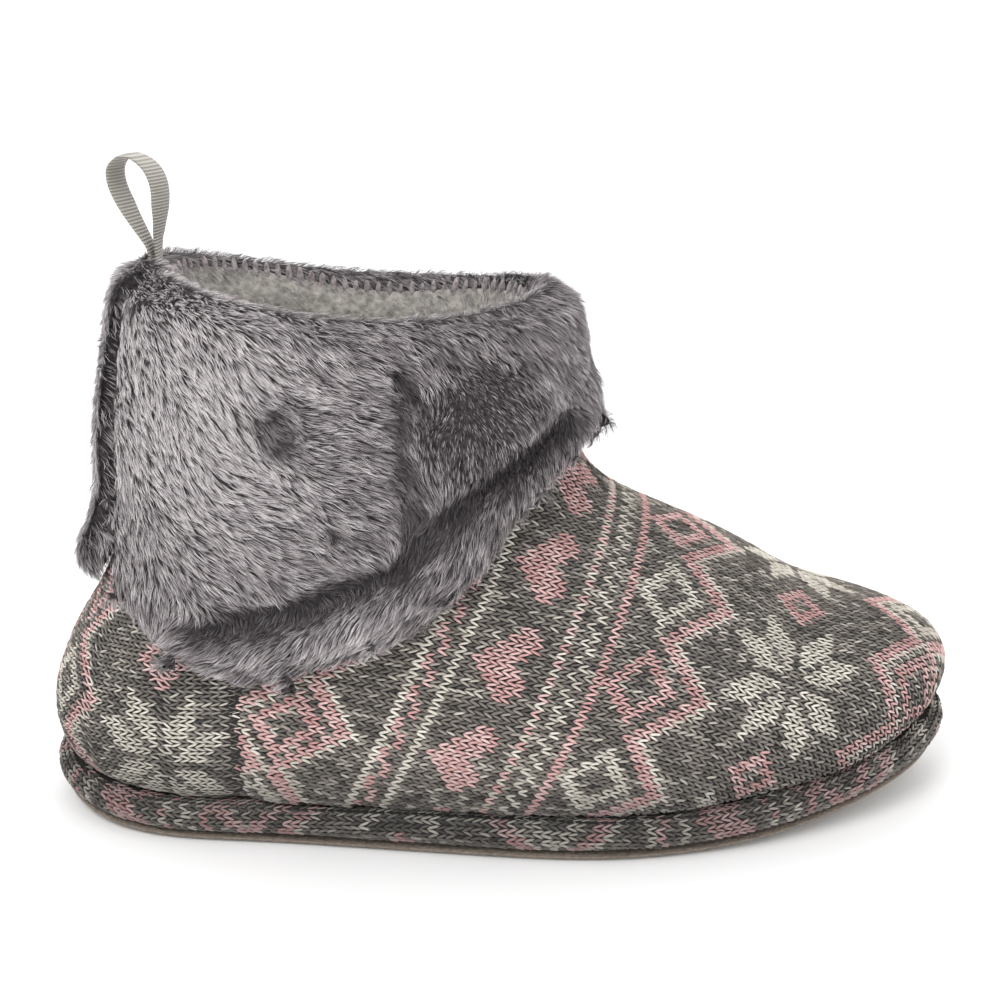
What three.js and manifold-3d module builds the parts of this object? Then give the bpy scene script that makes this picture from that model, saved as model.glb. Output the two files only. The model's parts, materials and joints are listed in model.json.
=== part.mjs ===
// A bootie slipper for the right foot: thin outsole, knit wrapped midsole, insole, padded knit
// upper, folded fur cuff with a slit behind, and a ribbon pull loop.
// Millimetres. +X runs to the toe, +Y to the inner side of the foot, +Z up.
// The origin lies on the floor under the middle of the sole's length.

import * as THREE from "three";
import * as BufferGeometryUtils from "three/addons/utils/BufferGeometryUtils.js";
import Module from "manifold-3d";

const wasm = await Module();
wasm.setup();

// Driving sizes
const LENGTH = 255; // heel to toe, outside
const BALL_WIDTH = 100;
const HEEL_WIDTH = 80;
const TOE_INSET = 9; // how far the toe's middle lies towards the inner side
const TOE_SPRING = 12; // how far the sole lifts at the toe
const TOE_SPRING_LENGTH = 92; // length of the part that lifts
const HEEL_SPRING = 3.5; // how far the sole lifts at the back of the heel
const HEEL_SPRING_LENGTH = 38;
const OUTSOLE_THICK = 3;
const OUTSOLE_INSET = 2.2; // how far its edge lies inside the midsole's widest line
const OUTSOLE_CHAMFER = 1.2; // at its lower edge
const MIDSOLE_THICK = 9;
const MIDSOLE_ROLL = 4; // how far the wrapped edge rolls in under the upper
const INSOLE_THICK = 3;
const SHAFT_HEIGHT = 141; // collar edge of the upper at its back, above the floor
const COLLAR_DIP_SIDE = 8; // how much lower the collar edge is at the sides
const COLLAR_DIP_FRONT = 7;
const SHAFT_LENGTH = 107; // collar of the upper, front to back
const SHAFT_WIDTH = 74; // collar of the upper, side to side
const SHAFT_LEAN = 33; // the collar's back edge lies this far before the heel
const WALL = 4; // padded knit, with its lining
const SEAM_FROM_HEEL = 57; // side seam between vamp and heel piece
const SEAM_DEPTH = 1.6;
const SEAM_WIDTH = 9;
const CUFF_THICK = 12; // pile and backing of the folded flap
const CUFF_LIP_THICK = 3.5; // the part of the cuff inside the collar
const CUFF_LIP_DEPTH = 4; // how far it reaches down to the gathered seam
const HEM_ROLL = 24; // height of the rolled hem
const CREASE_DEPTH = 3.2; // furrow above the hem roll
const CUFF_DROP_BACK = 84; // how far the flap hangs below the collar edge at the back
const CUFF_DROP_SIDE = 91;
const CUFF_DROP_FRONT = 30;
const SLIT_ANGLE = 0.36; // place of the slit, radians round the collar from the back, outer side
const SLIT_GAP_TOP = 2.5;
const SLIT_GAP_HEM = 9;
const DIMPLE_DEPTH = 5; // hollow in the pile on the outer side
const DIMPLE_RADIUS = 13;
const DIMPLE_ALONG = 0.35; // its place as a share of SHAFT_LENGTH from the collar's back
const DIMPLE_DOWN = 0.3; // and as a share of CUFF_DROP_SIDE below the collar
const LOCK_LENGTH = 14;
const LOCK_WIDTH = 9;
const LOCK_LIFT = 2.2; // how far a lock's ridge stands off the pile
const LOCK_PITCH = 14; // spacing of the locks down and round the cuff
const LOCK_OVERHANG = 3; // how far a lock's tip may hang below the hem
const LOCK_MARGIN = 0.14; // radians round the collar kept free of locks beside the slit
const RIBBON_WIDTH = 10;
const RIBBON_THICK = 1.2;
const LOOP_HEIGHT = 25; // above the top of the cuff
const LOOP_WIDTH = 14; // widest part of the loop, outside
const LOOP_LEAN = 0.2; // radians backwards
const LOOP_TWIST = 0.36; // radians, turning the loop's back leg towards the inner side
const CLEARANCE = 0.3; // between sewn or glued pieces
const FLAP_GAP = 1.2; // between the hanging flap and the upper

// Number of facets
const ROUND_STEPS = 54; // round the foot
const LOOP_STEPS = 36; // along the ribbon
const SEED = 7;

// Heights of the layers
const MIDSOLE_BOTTOM = OUTSOLE_THICK + CLEARANCE;
const MIDSOLE_TOP = MIDSOLE_BOTTOM + MIDSOLE_THICK;
const UPPER_BOTTOM = MIDSOLE_TOP + CLEARANCE;
const HEEL_X = -LENGTH / 2;
const TOE_X = LENGTH / 2;
const COLLAR_FRONT = HEEL_X + SHAFT_LEAN + SHAFT_LENGTH;

// Half width of the sole along its length, as a share of half the ball width or heel width,
// before its ends are rounded. outer is the little toe's side and inner the big toe's side.
const SOLE_WIDTHS = [
  { along: 0.0, ball: 0, outer: 1.0, inner: 1.0 },
  { along: 0.22, ball: 0.1, outer: 1.04, inner: 0.97 },
  { along: 0.42, ball: 0.5, outer: 1.09, inner: 0.88 },
  { along: 0.6, ball: 0.96, outer: 1.1, inner: 0.9 },
  { along: 0.72, ball: 1, outer: 1.03, inner: 0.95 },
  { along: 0.86, ball: 1, outer: 0.88, inner: 0.96 },
  { along: 1.0, ball: 1, outer: 0.78, inner: 0.92 },
];
const HEEL_ROUND = 0.19; // share of the length over which the sole's heel end is rounded
const TOE_ROUND = 0.26;
const END_POWER = 2.15; // 2 is an ellipse, more is squarer

// Level sections of the upper. up is a share of its height, lean of SHAFT_LEAN, reach of the way
// from collar front to toe tip, oval of the way from the sole's width to the collar's, fill
// scales the width, nose and tail are the rounded ends as shares of the length.
const UPPER_SECTIONS = [
  { up: 0.0, lean: 0.15, reach: 0.955, oval: 0, fill: 0.94, nose: 0.25, tail: 0.18 },
  { up: 0.04, lean: 0.05, reach: 0.985, oval: 0, fill: 1.0, nose: 0.25, tail: 0.19 },
  { up: 0.12, lean: 0.0, reach: 1.0, oval: 0, fill: 1.03, nose: 0.26, tail: 0.19 },
  { up: 0.21, lean: 0.09, reach: 0.965, oval: 0.03, fill: 1.03, nose: 0.28, tail: 0.19 },
  { up: 0.28, lean: 0.2, reach: 0.885, oval: 0.1, fill: 1.01, nose: 0.32, tail: 0.19 },
  { up: 0.32, lean: 0.29, reach: 0.79, oval: 0.17, fill: 0.99, nose: 0.34, tail: 0.19 },
  { up: 0.37, lean: 0.42, reach: 0.65, oval: 0.25, fill: 0.98, nose: 0.35, tail: 0.19 },
  { up: 0.44, lean: 0.57, reach: 0.53, oval: 0.38, fill: 0.97, nose: 0.34, tail: 0.19 },
  { up: 0.5, lean: 0.66, reach: 0.4, oval: 0.5, fill: 0.97, nose: 0.32, tail: 0.19 },
  { up: 0.56, lean: 0.73, reach: 0.27, oval: 0.62, fill: 0.97, nose: 0.29, tail: 0.19 },
  { up: 0.6, lean: 0.77, reach: 0.17, oval: 0.72, fill: 0.97, nose: 0.26, tail: 0.19 },
  { up: 0.65, lean: 0.81, reach: 0.1, oval: 0.82, fill: 0.97, nose: 0.23, tail: 0.19 },
  { up: 0.73, lean: 0.86, reach: 0.05, oval: 0.93, fill: 0.98, nose: 0.21, tail: 0.2 },
  { up: 0.82, lean: 0.91, reach: 0.02, oval: 0.98, fill: 0.99, nose: 0.2, tail: 0.2 },
  { up: 0.91, lean: 0.96, reach: 0.01, oval: 1, fill: 1.0, nose: 0.2, tail: 0.2 },
  { up: 1.0, lean: 1.0, reach: 0.0, oval: 1, fill: 1.0, nose: 0.2, tail: 0.2 },
];

// Thickness of the cuff's flap from the collar edge (down 0) to its hem (down 1), as a share of
// CUFF_THICK. The hem roll and the furrow over it are added by height.
const FLAP_THICKNESS = [
  { down: 0.0, thick: 0.95 },
  { down: 0.25, thick: 1.06 },
  { down: 0.6, thick: 1.04 },
  { down: 0.85, thick: 0.98 },
  { down: 1.0, thick: 0.6 },
];

// Drop of the hem round the cuff. turn is the share of the way from the back to the front of
// the collar; back, side and front weigh the three named drops.
const HEM_LINE = [
  { turn: 0.0, back: 1, side: 0, front: 0 },
  { turn: 0.12, back: 0.88, side: 0.02, front: 0 },
  { turn: 0.2, back: 0.35, side: 0.56, front: 0 },
  { turn: 0.28, back: 0, side: 0.97, front: 0 },
  { turn: 0.34, back: 0, side: 0.97, front: 0 },
  { turn: 0.4, back: 0, side: 0.87, front: 0.08 },
  { turn: 0.46, back: 0, side: 0.77, front: 0.15 },
  { turn: 0.52, back: 0, side: 0.62, front: 0.31 },
  { turn: 0.59, back: 0, side: 0.44, front: 0.56 },
  { turn: 0.7, back: 0, side: 0.22, front: 0.9 },
  { turn: 0.8, back: 0, side: 0.08, front: 1.02 },
  { turn: 1.0, back: 0, side: 0, front: 1 },
];

const mix = (a, b, share) => a + (b - a) * share;
const clamp01 = (value) => Math.min(1, Math.max(0, value));
const bell = (distance, radius) => Math.exp(-((distance / radius) ** 2));

// Smooth value of one column of a table between its rows.
function between(table, key, at, column) {
  const last = table.length - 1;
  let i = 0;
  while (i < last - 1 && at > table[i + 1][key]) i += 1;
  const row = (k) => table[Math.min(last, Math.max(0, k))];
  const span = row(i + 1)[key] - row(i)[key];
  const t = clamp01((at - row(i)[key]) / span);
  const slope = (k) => {
    const width = row(k + 1)[key] - row(k - 1)[key];
    return ((row(k + 1)[column] - row(k - 1)[column]) / width) * span;
  };
  const rise = t * t * (3 - 2 * t);
  const bend = t * (1 - t) * ((1 - t) * slope(i) - t * slope(i + 1));
  return mix(row(i)[column], row(i + 1)[column], rise) + bend;
}

// Width left at a distance from a rounded end.
function rounded(distance, length) {
  const share = clamp01(distance / length);
  return (1 - (1 - share) ** END_POWER) ** (1 / END_POWER);
}

function soleHalf(x, side) {
  const along = clamp01((x - HEEL_X) / LENGTH);
  const ball = between(SOLE_WIDTHS, "along", along, "ball");
  const shape = between(SOLE_WIDTHS, "along", along, side < 0 ? "outer" : "inner");
  return (mix(HEEL_WIDTH, BALL_WIDTH, ball) / 2) * shape;
}

// Middle line of the foot, which bends to the inner side towards the toe.
function middle(x) {
  const along = clamp01((x - HEEL_X) / LENGTH);
  return TOE_INSET * clamp01((along - 0.45) / 0.55) ** 1.6;
}

// How far the sole lifts off the floor towards its two ends.
function endLift(x) {
  const toe = clamp01((x - (TOE_X - TOE_SPRING_LENGTH)) / TOE_SPRING_LENGTH);
  const heel = clamp01((HEEL_X + HEEL_SPRING_LENGTH - x) / HEEL_SPRING_LENGTH);
  return TOE_SPRING * toe ** 2 + HEEL_SPRING * heel ** 2;
}

// A closed level outline. angle runs from the heel along the outer side to the toe and back.
function outlinePoint(angle, back, front, nose, tail, half) {
  const x = mix(back, front, (1 - Math.cos(angle)) / 2);
  const side = Math.sin(angle) > 0 ? -1 : 1;
  const width = half(x, side) * rounded(x - back, tail) * rounded(front - x, nose);
  return new THREE.Vector2(x, middle(x) + side * width);
}

function soleOutline(inset) {
  const points = [];
  for (let i = 0; i < ROUND_STEPS; i += 1) {
    const angle = (2 * Math.PI * (i + 0.5)) / ROUND_STEPS;
    points.push(
      outlinePoint(angle, HEEL_X, TOE_X, TOE_ROUND * LENGTH, HEEL_ROUND * LENGTH, soleHalf),
    );
  }
  return insetOutline(points, inset);
}

// Moves each point of an outline inwards, square to the line between its neighbours.
function insetOutline(points, inset) {
  const count = points.length;
  return points.map((point, i) => {
    const along = points[(i + 1) % count].clone().sub(points[(i + count - 1) % count]);
    const inward = new THREE.Vector2(-along.y, along.x).normalize();
    return point.clone().addScaledVector(inward, inset);
  });
}

// A closed mesh from rings of equal length. Each ring runs anticlockwise seen from outside its
// far end; a loop of rings closes on itself, otherwise both ends are capped.
function ringMesh(rings, closedLoop, cap = capRing) {
  const size = rings[0].length;
  const positions = rings.flat().flatMap((p) => [p.x, p.y, p.z]);
  const faces = [];
  const steps = closedLoop ? rings.length : rings.length - 1;
  for (let r = 0; r < steps; r += 1) {
    const low = r * size;
    const high = ((r + 1) % rings.length) * size;
    for (let i = 0; i < size; i += 1) {
      const next = (i + 1) % size;
      faces.push(low + i, low + next, high + next);
      faces.push(low + i, high + next, high + i);
    }
  }
  if (!closedLoop) {
    cap(rings[0], 0, faces, true);
    cap(rings[rings.length - 1], (rings.length - 1) * size, faces, false);
  }
  const geometry = new THREE.BufferGeometry();
  geometry.setAttribute("position", new THREE.Float32BufferAttribute(positions, 3));
  geometry.setIndex(faces);
  return geometry;
}

// Closes an end ring with triangles between its own points, worked out in the ring's plane.
function capRing(ring, offset, faces, backwards) {
  const flat = flattened(ring);
  for (const [a, b, c] of THREE.ShapeUtils.triangulateShape(flat, [])) {
    const face = backwards ? [c, b, a] : [a, b, c];
    faces.push(...face.map((corner) => offset + corner));
  }
}

// Closes an end ring with strips from one side of the foot to the other, so that the plates
// above and below bend alike.
function capAcross(ring, offset, faces, backwards) {
  const last = ring.length - 1;
  for (let i = 0; i < ring.length / 2 - 1; i += 1) {
    const strip = [
      [i, i + 1, last - i],
      [i + 1, last - i - 1, last - i],
    ];
    for (const [a, b, c] of strip) {
      const face = backwards ? [c, b, a] : [a, b, c];
      faces.push(...face.map((corner) => offset + corner));
    }
  }
}

function flattened(ring) {
  const normal = new THREE.Vector3();
  ring.forEach((p, i) => {
    const q = ring[(i + 1) % ring.length];
    normal.x += (p.y - q.y) * (p.z + q.z);
    normal.y += (p.z - q.z) * (p.x + q.x);
    normal.z += (p.x - q.x) * (p.y + q.y);
  });
  normal.normalize();
  const across = ring[1].clone().sub(ring[0]).projectOnPlane(normal).normalize();
  const up = normal.clone().cross(across);
  return ring.map((p) => new THREE.Vector2(p.dot(across), p.dot(up)));
}

function toManifold(geometry) {
  const bare = new THREE.BufferGeometry();
  bare.setAttribute("position", geometry.getAttribute("position"));
  if (geometry.index) bare.setIndex(geometry.index);
  const merged = BufferGeometryUtils.mergeVertices(bare, 1e-4);
  return new wasm.Manifold(
    new wasm.Mesh({
      numProp: 3,
      vertProperties: new Float32Array(merged.getAttribute("position").array),
      triVerts: new Uint32Array(merged.index.array),
    }),
  );
}

function fromManifold(solid) {
  const mesh = solid.getMesh();
  const geometry = new THREE.BufferGeometry();
  geometry.setAttribute("position", new THREE.BufferAttribute(mesh.vertProperties, 3));
  geometry.setIndex(new THREE.BufferAttribute(mesh.triVerts, 1));
  return geometry;
}

// A plate with the sole's outline. edge lists the rings of its side from the bottom up: how far
// each is inset and its height.
function solePlate(edge) {
  const rings = edge.map(({ inset, z }) =>
    soleOutline(inset).map((p) => new THREE.Vector3(p.x, p.y, z + endLift(p.x))),
  );
  return ringMesh(rings, false, capAcross);
}

function outsoleGeometry() {
  return solePlate([
    { inset: OUTSOLE_INSET + OUTSOLE_CHAMFER, z: 0 },
    { inset: OUTSOLE_INSET + OUTSOLE_CHAMFER * 0.15, z: OUTSOLE_THICK * 0.3 },
    { inset: OUTSOLE_INSET, z: OUTSOLE_THICK },
  ]);
}

function midsoleGeometry() {
  const roll = (inward, up) => ({
    inset: MIDSOLE_ROLL * inward,
    z: MIDSOLE_BOTTOM + MIDSOLE_THICK * up,
  });
  return solePlate([
    roll(0.8, 0),
    roll(0.3, 0.12),
    roll(0.05, 0.4),
    roll(0.075, 0.65),
    roll(0.4, 0.88),
    roll(1.05, 1),
  ]);
}

function collarHeight(angle) {
  const front = ((1 - Math.cos(angle)) / 2) ** 2;
  return SHAFT_HEIGHT - COLLAR_DIP_SIDE * Math.sin(angle) ** 2 - COLLAR_DIP_FRONT * front;
}

// A point of the upper's outer face. up is the share of the way from its bottom to the collar.
function upperPoint(angle, up) {
  const section = (column) => between(UPPER_SECTIONS, "up", up, column);
  const back = HEEL_X + SHAFT_LEAN * section("lean");
  const front = mix(COLLAR_FRONT, TOE_X, section("reach"));
  const oval = section("oval");
  const fill = section("fill");
  const half = (x, side) => mix(soleHalf(x, side), SHAFT_WIDTH / 2, oval) * fill;
  const point = outlinePoint(
    angle,
    back,
    front,
    section("nose") * LENGTH,
    section("tail") * LENGTH,
    half,
  );
  const height = mix(UPPER_BOTTOM, collarHeight(angle), up);
  const settle = clamp01(1 - up / 0.45);
  const lift = endLift(point.x) * settle * settle * (3 - 2 * settle);
  return new THREE.Vector3(point.x, point.y, height + lift);
}

// Unit direction out of the upper's outer face.
function upperNormal(angle, up) {
  const step = 0.01;
  const low = clamp01(up - step);
  const high = clamp01(up + step);
  const round = upperPoint(angle + step, up).sub(upperPoint(angle - step, up));
  const rise = upperPoint(angle, high).sub(upperPoint(angle, low));
  return round.cross(rise).normalize();
}

// Depth of the side seam's valley, which fades out under the cuff.
function seamGroove(x, up) {
  const fade = clamp01(1 - up / 0.7);
  return SEAM_DEPTH * fade * bell(x - (HEEL_X + SEAM_FROM_HEEL), SEAM_WIDTH / 2);
}

// Angles round the foot, with extra ones at the side seams.
function upperAngles() {
  const angles = [];
  for (let i = 0; i < ROUND_STEPS; i += 1) angles.push((2 * Math.PI * (i + 0.5)) / ROUND_STEPS);
  for (const offset of [-0.55, 0, 0.55]) {
    const share = (SEAM_FROM_HEEL + offset * SEAM_WIDTH) / LENGTH;
    const angle = Math.acos(1 - 2 * share);
    angles.push(angle, 2 * Math.PI - angle);
  }
  return angles.sort((a, b) => a - b);
}

function upperGeometry() {
  const angles = upperAngles();
  const outer = [];
  const inner = [];
  for (const { up } of UPPER_SECTIONS) {
    const edge = up === 0 || up === 1;
    outer.push(
      angles.map((angle) => {
        const point = upperPoint(angle, up);
        return point.addScaledVector(upperNormal(angle, up), -seamGroove(point.x, up));
      }),
    );
    inner.push(
      angles.map((angle) => {
        const point = upperPoint(angle, up);
        const normal = upperNormal(angle, up);
        if (edge) normal.setZ(0).normalize();
        return point.addScaledVector(normal, -WALL - seamGroove(point.x, up));
      }),
    );
  }
  return ringMesh([...outer, ...inner.reverse()], true);
}

// The insole fills the bottom of the upper, from wall to wall.
function insoleGeometry() {
  const ring = (gap, share) =>
    upperAngles().map((angle) => {
      const point = upperPoint(angle, 0);
      const outward = upperNormal(angle, 0).setZ(0).normalize();
      point.addScaledVector(outward, -(WALL + seamGroove(point.x, 0) + gap));
      return point.setZ(point.z + INSOLE_THICK * share);
    });
  const rings = [ring(CLEARANCE, 0), ring(CLEARANCE, 0.6), ring(CLEARANCE * 5, 1)];
  return ringMesh(rings, false, capAcross);
}

const collarUp = (angle, height) => (height - UPPER_BOTTOM) / (collarHeight(angle) - UPPER_BOTTOM);

function flapDrop(angle) {
  const turn = Math.acos(Math.cos(angle)) / Math.PI;
  const weight = (column) => between(HEM_LINE, "turn", turn, column);
  return (
    CUFF_DROP_BACK * weight("back") +
    CUFF_DROP_SIDE * weight("side") +
    CUFF_DROP_FRONT * weight("front")
  );
}

// Hollow in the pile on the outer side of the cuff.
function dimple(point) {
  const x = HEEL_X + SHAFT_LEAN + SHAFT_LENGTH * DIMPLE_ALONG;
  const z = SHAFT_HEIGHT - CUFF_DROP_SIDE * DIMPLE_DOWN;
  const distance = Math.hypot(point.x - x, point.z - z);
  return point.y < 0 ? DIMPLE_DEPTH * bell(distance, DIMPLE_RADIUS) : 0;
}

function flapThickness(angle, down, drop, point) {
  const fromHem = (1 - down) * drop;
  const furrow = CREASE_DEPTH * bell(fromHem - HEM_ROLL, HEM_ROLL * 0.3);
  const share = between(FLAP_THICKNESS, "down", down, "thick");
  return CUFF_THICK * share - furrow - dimple(point);
}

// A point at a distance outside the upper's outer face, at a height above the floor.
function offCollar(angle, height, distance, levelOnly) {
  const up = clamp01(collarUp(angle, height));
  const normal = upperNormal(angle, up);
  if (levelOnly) normal.setZ(0).normalize();
  const point = upperPoint(angle, up).addScaledVector(normal, distance);
  if (levelOnly) point.z = height;
  return point;
}

const FLAP_STOPS = [0, 0.12, 0.3, 0.48, 0.64, 0.76, 0.86, 0.95];

// The closed section of the cuff at one angle: up inside the collar, over its edge, down the
// outside to the hem, and back up against the upper. end is 1 or -1 for the two ends at the
// slit, which part towards the hem, and 0 for a section between them.
function cuffSection(angle, end) {
  const spread = (end * (SLIT_GAP_HEM - SLIT_GAP_TOP)) / SHAFT_WIDTH;
  const top = collarHeight(angle);
  const drop = flapDrop(angle);
  const inside = -WALL - 2 * CLEARANCE;
  const lip = inside - CUFF_LIP_THICK;
  const outside = flapThickness(angle, 0, drop, upperPoint(angle, 1)) + FLAP_GAP;
  const arch = (outside - lip) / 2;
  const section = [
    offCollar(angle, top - CUFF_LIP_DEPTH, inside, true),
    offCollar(angle, top - CUFF_LIP_DEPTH, lip, true),
    offCollar(angle, top, lip, true),
  ];
  for (const turn of [0.25, 0.5, 0.75]) {
    const point = offCollar(angle, top, lip + arch * (1 - Math.cos(turn * Math.PI)), true);
    point.z += CUFF_THICK * Math.sin(turn * Math.PI);
    section.push(point);
  }
  for (const down of FLAP_STOPS) {
    const base = offCollar(angle, top - drop * down, 0, false);
    const thick = flapThickness(angle, down, drop, base);
    section.push(offCollar(angle + spread * down, top - drop * down, thick + FLAP_GAP, false));
  }
  section.push(offCollar(angle + spread, top - drop, CUFF_THICK * 0.35 + FLAP_GAP, false));
  for (const down of FLAP_STOPS.slice(1).reverse()) {
    section.push(offCollar(angle + spread * down, top - drop * down, FLAP_GAP, false));
  }
  for (const distance of [FLAP_GAP, inside]) {
    const point = offCollar(angle, top, distance, true);
    section.push(point.setZ(top + CLEARANCE));
  }
  return section;
}

// Seeded random numbers, so that the locks fall the same way each time.
function randomFrom(seed) {
  let state = seed;
  return () => {
    state = (state * 1664525 + 1013904223) % 4294967296;
    return state / 4294967296;
  };
}

// A flat pointed lock of pile, its root and its underside sunk in the flap.
function lockSolid(root, along, outward, length, width) {
  const across = along.clone().cross(outward).normalize();
  const corner = (side, forward, lift) =>
    root
      .clone()
      .addScaledVector(across, side * width * 0.5)
      .addScaledVector(along, forward * length)
      .addScaledVector(outward, lift * LOCK_LIFT);
  const corners = [
    corner(-1, 0.15, -0.4),
    corner(1, 0.15, -0.4),
    corner(0, 0.35, -1.6),
    corner(0, 0.3, 1),
    corner(0, 1, 0.45),
    corner(0, -0.3, -0.6),
  ].flatMap((p) => [p.x, p.y, p.z]);
  const geometry = new THREE.BufferGeometry();
  geometry.setAttribute("position", new THREE.Float32BufferAttribute(corners, 3));
  geometry.setIndex([0, 3, 4, 3, 1, 4, 0, 4, 2, 1, 2, 4, 5, 3, 0, 5, 1, 3, 5, 0, 2, 5, 2, 1]);
  return toManifold(geometry);
}

// Locks in staggered rows over the outer face of the flap.
function cuffLocks() {
  const random = randomFrom(SEED);
  const locks = [];
  const rows = Math.round(CUFF_DROP_SIDE / LOCK_PITCH);
  for (let row = 0; row < rows; row += 1) {
    const down = (row + 0.3) / rows;
    const around = (Math.PI * (SHAFT_LENGTH + SHAFT_WIDTH)) / 2;
    const columns = Math.round(around / LOCK_PITCH);
    for (let column = 0; column < columns; column += 1) {
      const share = (column + 0.5 * (row % 2) + 0.35 * (random() - 0.5)) / columns;
      const angle = SLIT_ANGLE + LOCK_MARGIN + share * (2 * Math.PI - 2.5 * LOCK_MARGIN);
      const drop = flapDrop(angle);
      const height = collarHeight(angle) - drop * clamp01(down + 0.03 * (random() - 0.5));
      const outward = upperNormal(angle, collarUp(angle, height));
      const base = offCollar(angle, height, 0, false);
      const thick = flapThickness(angle, down, drop, base);
      const root = offCollar(angle, height, thick + CLEARANCE, false);
      const below = offCollar(angle, height - 2, thick + CLEARANCE, false);
      const along = below.sub(root).normalize();
      along.applyAxisAngle(outward, 0.9 * (random() - 0.5));
      const room = drop * (1 - down) + LOCK_OVERHANG;
      const size = Math.min(0.8 + 0.4 * random(), room / LOCK_LENGTH);
      locks.push(lockSolid(root, along, outward, LOCK_LENGTH * size, LOCK_WIDTH * size));
    }
  }
  return locks;
}

// Angles of the cuff's sections, from one end at the slit round to the other.
function cuffAngles() {
  const halfGap = SLIT_GAP_TOP / SHAFT_WIDTH;
  const from = SLIT_ANGLE + halfGap;
  const to = SLIT_ANGLE - halfGap + 2 * Math.PI;
  const apart = SLIT_GAP_HEM / SHAFT_WIDTH;
  const turned = upperAngles().map((angle) => (angle < from ? angle + 2 * Math.PI : angle));
  const within = turned.filter((angle) => angle > from + apart && angle < to - apart);
  return [from, ...within.sort((a, b) => a - b), to];
}

// The folded band with its locks joined on. The ribbon's legs stand in a slot in its fold.
function cuffGeometry() {
  const angles = cuffAngles();
  const rings = angles.map((angle, i) => {
    const end = i === 0 ? 1 : i === angles.length - 1 ? -1 : 0;
    return cuffSection(angle, end);
  });
  let cuff = toManifold(ringMesh(rings, false));
  for (const lock of cuffLocks()) cuff = cuff.add(lock);
  return fromManifold(cuff.subtract(toManifold(ribbonSlot())));
}

// Where the ribbon stands: over the middle of the upper's wall at the back.
function ribbonFoot() {
  const foot = offCollar(0, collarHeight(0), -WALL / 2, true);
  return foot.setZ(foot.z + CLEARANCE);
}

function ribbonSlot() {
  const deep = CUFF_THICK * 2;
  const slot = new THREE.BoxGeometry(
    2 * RIBBON_THICK + 3 * CLEARANCE,
    RIBBON_WIDTH + 2 * CLEARANCE,
    deep,
  );
  const foot = ribbonFoot();
  return slot.translate(foot.x, foot.y, foot.z + deep / 2 - CLEARANCE);
}

// Outline of the standing loop from the side, as shares of LOOP_HEIGHT and half LOOP_WIDTH.
const LOOP_SHAPE = [
  { rise: 0.0, wide: 0.14 },
  { rise: 0.16, wide: 0.3 },
  { rise: 0.42, wide: 0.72 },
  { rise: 0.68, wide: 1.0 },
  { rise: 0.88, wide: 0.82 },
  { rise: 1.0, wide: 0.0 },
];

// A strip of ribbon folded into a loop, its two legs side by side in the cuff's fold.
function pullLoopGeometry() {
  const foot = ribbonFoot();
  const buried = CUFF_THICK;
  const leg = (RIBBON_THICK + CLEARANCE) / 2;
  const half = (LOOP_WIDTH - RIBBON_THICK) / 2;
  const front = LOOP_SHAPE.map(({ rise, wide }) => [
    Math.max(leg, half * wide) * (rise === 1 ? 0 : 1),
    buried + rise * LOOP_HEIGHT,
  ]);
  const back = front.slice(0, -1).map(([x, z]) => [-x, z]);
  const line = [[leg, 0], ...front, ...back.reverse(), [-leg, 0]];
  const swing = (z) => Math.max(0, z - buried) * Math.tan(LOOP_LEAN);
  const path = new THREE.CatmullRomCurve3(
    line.map(([x, z]) => new THREE.Vector3(x - swing(z), 0, z)),
  );
  const up = new THREE.Vector3(0, 0, 1);
  const rings = [];
  for (let i = 0; i <= LOOP_STEPS; i += 1) {
    const at = path.getPoint(i / LOOP_STEPS);
    const along = path.getTangent(i / LOOP_STEPS);
    const outward = new THREE.Vector3(-along.z, 0, along.x).multiplyScalar(RIBBON_THICK / 2);
    const middleLine = new THREE.Vector3(-swing(at.z), 0, at.z);
    const twist = LOOP_TWIST * clamp01((at.z - buried) / (LOOP_HEIGHT / 2));
    const corner = (side, face) =>
      new THREE.Vector3(0, (side * RIBBON_WIDTH) / 2, 0)
        .addScaledVector(outward, face)
        .add(at)
        .sub(middleLine)
        .applyAxisAngle(up, -twist)
        .add(middleLine)
        .add(foot);
    rings.push([corner(-1, -1), corner(1, -1), corner(1, 1), corner(-1, 1)]);
  }
  return ringMesh(rings, false);
}

function mesh(name, geometry, color, roughness) {
  const material = new THREE.MeshStandardMaterial({ color, roughness, metalness: 0 });
  const piece = new THREE.Mesh(geometry, material);
  piece.name = name;
  return piece;
}

const slipper = new THREE.Group();
slipper.add(mesh("outsole", outsoleGeometry(), 0x7d6f68, 0.85));
slipper.add(mesh("midsole", midsoleGeometry(), 0x56554f, 0.9));
slipper.add(mesh("insole", insoleGeometry(), 0x787b76, 0.95));
slipper.add(mesh("upper", upperGeometry(), 0x5c5b57, 0.9));
slipper.add(mesh("cuff", cuffGeometry(), 0x877f81, 0.95));
slipper.add(mesh("pull_loop", pullLoopGeometry(), 0xa9a39b, 0.7));

export default slipper;
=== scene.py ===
# %% [markdown]
# # A bootie slipper
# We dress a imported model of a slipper: a padded knit upper, a folded fur cuff, a knit wrapped
# midsole and a thin rubber sole. Everything is in metres: +X runs to the toe, +Y to the inner
# side of the right foot, +Z up, and the floor is at height 0.

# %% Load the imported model
import json

import bmesh
import bpy
import numpy as np
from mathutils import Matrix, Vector
from mathutils.bvhtree import BVHTree
from mathutils.kdtree import KDTree

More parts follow.
